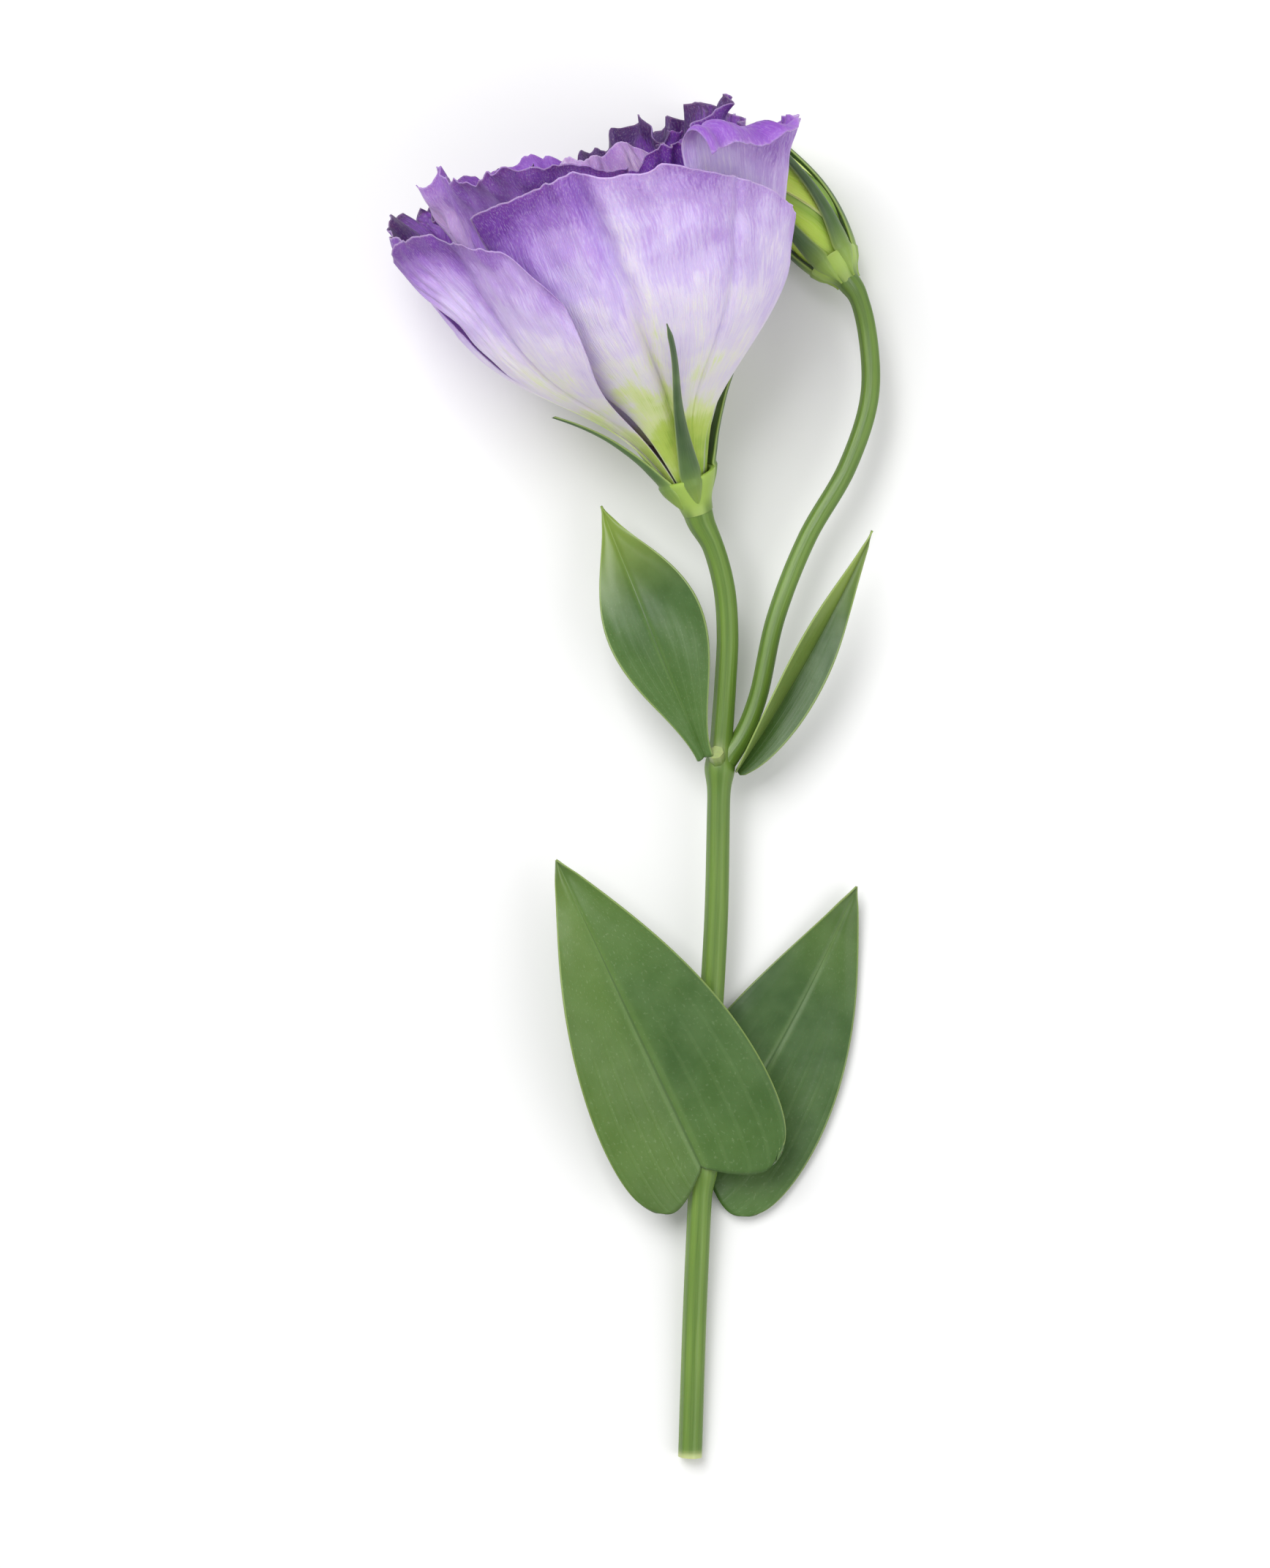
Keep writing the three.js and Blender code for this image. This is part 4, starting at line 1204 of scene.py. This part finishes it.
def bloom_sepal_radius(stand_off):
    def radius_at(height, v):
        outermost = OUTER["layer"] + OUTER["skew"][1] * smooth(3, 12, height)
        away = BLOOM_CLEAR + 0.3 + 0.3 * smooth(2, 6, height) + stand_off * v**3
        return max(outermost * goblet_radius(height) + away, on_cup(height, BLOOM_CUP_WALL))
    return radius_at


bloom_cup = cup_piece("bloom_cup", in_bloom, [
    *BLOOM_CUP_WALL, (bloom_inside(2.8), 2.8), (bloom_inside(1), 1), (1.8, 0.7),
])
bloom_sepals = [
    sepal_piece(f"bloom_sepal_{k}", pressed_in_bloom, {
        "turn": turn, "start": -3.6, "end": tip, "root": 2.7, "tip": 0.45, "keel": 0.8, "curl": 0.3,
        "radius_at": bloom_sepal_radius(stand_off),
    })
    for k, (turn, tip, stand_off) in enumerate(BLOOM_SEPALS)
]
cup_corners = len(bloom_cup.data.vertices)
bloom_calyx = joined("calyx_of_bloom", [bloom_cup, *bloom_sepals])
store(bloom_calyx, "tint", lime_cup(bloom_calyx, cup_corners, bloom_end))
set_piece(bloom_calyx, "bloom_calyx", green["sepal"])
print("bloom calyx faces:", len(bloom_calyx.data.polygons))

# %% [markdown]
# ## The bud
#
# A lisianthus bud is rolled shut: five petals lie round each other like the blades of a closed
# umbrella. The section of the bud is a circle with five small steps, and the section turns as it
# climbs, so each step becomes a spiral edge.

# %% Form of the bud
BUD_LENGTH = 30
BUD_RADIUS = 5.4
BUD_FOOT_RADIUS = 2
BUD_TURNS = 0.42
BUD_OVERLAP = 0.5
BUD_LIP = 0.16
BUD_CRUMPLE = 0.35
BUD_GRID = (150, 110)


def in_bud(radius, turn, height):
    across = BUD_FRONT * (radius * math.cos(turn)) + BUD_RIGHT * (radius * math.sin(turn))
    return BUD_BASE + BUD_AXIS * height + across


def bud_radius(height):
    """A round bulge that closes before the tip, over a core that narrows slowly."""
    along = max(height, 0) / BUD_LENGTH
    bulge = math.sin(math.pi * min(along * 1.06, 1)) ** 0.85 if along * 1.06 < 1 else 0
    return BUD_FOOT_RADIUS + (BUD_RADIUS - BUD_FOOT_RADIUS) * bulge - 0.5 * along


print("bud radius at a third, a half and the tip:", [round(bud_radius(h), 2) for h in (10, 15, 30)])


# %% Petals of the bud
def bud_surface(angle, v):
    height = mix(0.8, BUD_LENGTH, v)
    within = (angle / (2 * math.pi) * BUD_PETALS) % 1
    turn = angle - 2 * math.pi * BUD_TURNS * (height / BUD_LENGTH)
    step = BUD_OVERLAP * (0.5 - within) * smooth(0, 6, height)
    lip = BUD_LIP * bump(min(within, 1 - within), 0.06) * smooth(4, 10, height)
    crumple = BUD_CRUMPLE * math.cos(9.5 * angle) * smooth(26, 30, height)
    return in_bud(bud_radius(height) + step + lip + crumple, turn, height)


bud_petals = rolled_piece("rolled_bud", *BUD_GRID, bud_surface)
set_piece(bud_petals, "bud_petals", green["bud"])
print("bud faces:", len(bud_petals.data.polygons))

# %% [markdown]
# ## The calyx of the bud
#
# The bud's five sepals are younger and evenly spaced, and they lie close along it. They are made in
# the same way as the bloom's, with the form of the bud in the place of the goblet.

# %% Calyx of the bud
BUD_CUP_THICKNESS = 0.7


def bud_inside(height):
    return bud_radius(height) + BUD_OVERLAP / 2 + FIT_GAP


def bud_outside(height):
    return bud_inside(height) + BUD_CUP_THICKNESS


def bud_sepal_radius(k):
    def radius_at(height, v):
        away = 0.32 + (0.3 + 0.2 * (k % 3)) * v**4
        return max(bud_inside(height) + away, on_cup(height, BUD_CUP_WALL))
    return radius_at


BUD_CUP_WALL = [(1.9, BUD_FOOT), (2.3, -1.2), (bud_outside(0.8), 0.8), (bud_outside(2.6), 2.6)]
bud_cup = cup_piece("bud_cup", in_bud, [
    *BUD_CUP_WALL, (bud_inside(2.6), 2.6), (bud_inside(0.8), 0.8), (1.2, 0.3),
])
bud_sepals = [
    sepal_piece(f"bud_sepal_{k}", in_bud, {
        "turn": 36 + 72 * k, "start": -2.2, "end": 26 + (k % 2) * 2, "root": 2.4, "tip": 0.7,
        "keel": 0.7, "curl": 0.4, "radius_at": bud_sepal_radius(k),
    })
    for k in range(BUD_PETALS)
]
cup_corners = len(bud_cup.data.vertices)
bud_calyx = joined("calyx_of_bud", [bud_cup, *bud_sepals])
store(bud_calyx, "tint", lime_cup(bud_calyx, cup_corners, bud_end))
set_piece(bud_calyx, "bud_calyx", green["sepal"])
print("bud calyx faces:", len(bud_calyx.data.polygons))

# %% [markdown]
# ## The pistil
#
# Deep in the bloom stands the pistil: a fat ovary, a thin style and a stigma of two rounded lobes.
# Little of it shows, so a turned column and two stretched spheres with a grainy skin are enough.

# %% Pistil
PISTIL_PROFILE = (
    (0.9, 1.6), (1.9, 3), (2.1, 6), (1.9, 9.5), (0.9, 12), (0.5, 13.5), (0.5, 22), (0.8, 23.5),
    (0.4, 24.5),
)
STIGMA_LOBE = (1.3, 0.9, 1.6)
STIGMA_HEIGHT = 24.6
STIGMA_GRAIN = 0.25
parts = [cup_piece("style", in_bloom, PISTIL_PROFILE)]
for side in (1, -1):
    deselect_all()
    place = placed(in_bloom(0.9 * side, math.radians(90), STIGMA_HEIGHT))
    bpy.ops.mesh.primitive_uv_sphere_add(segments=20, ring_count=12, radius=MM, location=place)
    bpy.context.object.scale = STIGMA_LOBE
    bpy.ops.object.transform_apply(location=True, rotation=True, scale=True)
    lobe = bpy.context.object
    for corner in lobe.data.vertices:
        x, y, z = (value / MM for value in corner.co)
        grain = wobble(x * 9, 3) * wobble(y * 9 + z * 7, 5)
        corner.co += corner.normal * (STIGMA_GRAIN * grain * MM)
    bpy.ops.object.shade_smooth()
    parts.append(lobe)
pistil = joined("pistil_with_stigma", parts)
set_piece(pistil, "pistil", green["pistil"])
print("pistil faces:", len(pistil.data.polygons))

# %% [markdown]
# ## The leaves
#
# A lisianthus leaf has no stalk: it clasps the stem with two rounded lobes, is widest below its
# middle and ends in a point. It is folded along the midrib, its side veins are faint ridges that
# run with the midrib, and its smooth border waves gently.

# %% Leaves
LEAF_THICKNESS = 0.5
LEAF_EDGE_SHARE = 0.55
LEAF_GRID = (60, 110)
GROOVE_DEPTH = 0.22
VEIN_HEIGHT = 0.04
RIPPLE_HEIGHT = 0.3
LEAVES = {
    "leaf_upper_left": {
        "base": Vector((-2.3, 40.2, 11.6)), "tip": Vector((-19.8, 83, 9)), "bow": Vector((-0.5, 0, 3.2)),
        "half_width": 9.6, "left_share": 0.76, "foot": 0.014, "belly": 1.8, "fold": 20, "roll": -6,
        "lobe": 0.6, "wave": 0.6, "phase": 1, "taper": 1.6, "yellow_tip": 0.7, "lit": 0,
    },
    "leaf_upper_right": {
        "base": Vector((3.5, 37.9, 8.4)), "tip": Vector((26.4, 78.6, 12)), "bow": Vector((1.5, -1.5, -1)),
        "half_width": 4.8, "left_share": 1.45, "foot": 0.05, "belly": 0.65, "fold": 58, "roll": 28,
        "lobe": 0.6, "wave": 0.4, "phase": 2, "taper": 1.4, "yellow_tip": 0.4, "lit": 0.45,
    },
    "leaf_lower_front": {
        "base": Vector((-2.8, -29.6, 8.25)), "tip": Vector((-27.4, 22.7, 12)), "bow": Vector((0, 0, 4)),
        "half_width": 16.8, "left_share": 0.8, "foot": 0.42, "belly": 0.55, "fold": 6, "roll": 0,
        "lobe": 8.5, "wave": 0.8, "phase": 0, "taper": 0.9, "yellow_tip": 0.1, "lit": 0.1,
    },
    "leaf_lower_back": {
        "base": Vector((-1.9, -30, 1.6)), "tip": Vector((24, 18, 3.4)), "bow": Vector((2, -2, -2.9)),
        "half_width": 14, "left_share": 0.9, "foot": 0.4, "belly": 0.6, "fold": 3, "roll": 0,
        "lobe": 7, "wave": 0.4, "phase": 3, "taper": 0.95, "yellow_tip": 0.1, "lit": 0,
    },
}


def leaf_surface(leaf):
    base, tip = leaf["base"], leaf["tip"]
    middle = base.lerp(tip, 0.5) + leaf["bow"]

    def outline(v):
        return (leaf["foot"] + (1 - leaf["foot"]) * v ** leaf["belly"]) * max(1 - v, 0) ** leaf["taper"]

    widest = max(outline(k / 20) for k in range(21))

    def surface(u, v):
        tangent = ((middle - base) * (2 * (1 - v)) + (tip - middle) * (2 * v)).normalized()
        normal = (Vector((0, 0, 1)) - tangent * tangent.z).normalized()
        turn = math.radians(leaf["roll"])
        normal = normal * math.cos(turn) + tangent.cross(normal) * math.sin(turn)
        side = tangent.cross(normal)
        fold = math.radians(mix(leaf["fold"], 0.4 * leaf["fold"], v))
        crease = math.sqrt(u * u + 0.01) - 0.1
        thread = 0.4 * (1 - 0.8 * smooth(0.93, 1, v))
        width = thread + leaf["half_width"] * outline(v) * (1 - 0.3 * v**5) / widest
        half = width * (leaf["left_share"] if u < 0 else 1)
        lobe = leaf["lobe"] * abs(u) ** 0.8 * (1 - 0.7 * u**4) * (1 - v) ** 4
        wave = leaf["wave"] * math.sin(7 * v + 2 * u + leaf["phase"]) * u * u
        groove = -GROOVE_DEPTH * bump(u * half, 0.45)
        ridge = max(math.cos(2 * math.pi * VEINS_PER_HALF * abs(u)), 0) ** 4
        vein = VEIN_HEIGHT * ridge * smooth(0.1, 0.3, abs(u)) * (1 - smooth(0.4, 0.75, v))
        ripple = RIPPLE_HEIGHT * wobble(4 * v + 1.5 * u, leaf["phase"]) * min(half / 6, 1)
        along = base * (1 - v) ** 2 + middle * (2 * v * (1 - v)) + tip * v**2
        return (
            along - tangent * lobe + side * (half * u * math.cos(fold))
            + normal * (half * crease * math.sin(fold) + wave + groove + vein + ripple)
        )

    return surface


def yellow_tip_and_painted_glow_of(leaf):
    """A leaf turns yellower towards its tip; on the half that the light shines through, a painted glow of
    that light makes it yellower too.
    """
    def yellow_tip_and_glow(u, v):
        return leaf["yellow_tip"] * smooth(0.55, 1, v) + leaf["lit"] * smooth(0.2, -0.3, u)
    return yellow_tip_and_glow


for node, leaf in LEAVES.items():
    piece = bent_piece(
        f"broad_{node}", *LEAF_GRID, leaf_surface(leaf), LEAF_THICKNESS, LEAF_EDGE_SHARE,
        yellow_tip_and_painted_glow_of(leaf),
    )
    set_piece(piece, node, green["leaf"])
print("leaves:", [piece.name for piece in finished[-4:]])

# %% [markdown]
# ## Table, light and camera
#
# The flower lies on a plain pale table, and the camera looks straight down on it, as a camera in
# front of a standing flower would. A broad soft light from the upper left models the petals, a weak
# one from the right opens the shadows, and a pale sky fills in the rest.

# %% Table
TABLE_SIZE = 8
TABLE_SHADES = ((0.83, 0.83, 0.83, 1), (0.85, 0.85, 0.85, 1))
deselect_all()
bpy.ops.mesh.primitive_plane_add(size=TABLE_SIZE)
table = bpy.context.object
table.name = "pale_table"
table_finish, table_tree, table_shader = new_material("table_finish", Roughness=0.8)
table_tree.links.new(
    blended(table_tree, clouds(table_tree, 3), *TABLE_SHADES), table_shader.inputs["Base Color"],
)
table.data.materials.append(table_finish)

# %% Light
SKY_STRENGTH = 0.56


def area_light(name, location, size, power):
    """A square white light that faces the middle of the frame."""
    deselect_all()
    bpy.ops.object.light_add(type="AREA", location=location)
    light = bpy.context.object
    light.name = name
    light.data.size = size
    light.data.energy = power
    light.rotation_euler = (-Vector(location)).to_track_quat("-Z", "Y").to_euler()
    return light


area_light("key_light", location=(-0.4, 0.55, 1.1), size=0.8, power=13)
area_light("fill_light", location=(0.8, -0.3, 0.9), size=0.9, power=4)

sky = bpy.data.worlds.new("pale_sky")
bpy.context.scene.world = sky
sky.use_nodes = True
sky.node_tree.nodes["Background"].inputs["Color"].default_value = (1, 1, 1, 1)
sky.node_tree.nodes["Background"].inputs["Strength"].default_value = SKY_STRENGTH

# %% Camera
LENS = 120
CAMERA_HEIGHT = 0.9
deselect_all()
bpy.ops.object.camera_add(location=(0, 0, CAMERA_HEIGHT), rotation=(0, 0, 0))
camera = bpy.context.object
camera.data.lens = LENS
camera.data.clip_start = 0.01
bpy.context.scene.camera = camera
bpy.context.scene.view_settings.view_transform = "Standard"
print("camera height and lens:", CAMERA_HEIGHT, LENS)

# %% [markdown]
# ## Sizes and the last line
#
# The triangles of all the finished pieces are counted.

# %% Finish
print("triangles:", sum(len(p.vertices) - 2 for o in finished for p in o.data.polygons))
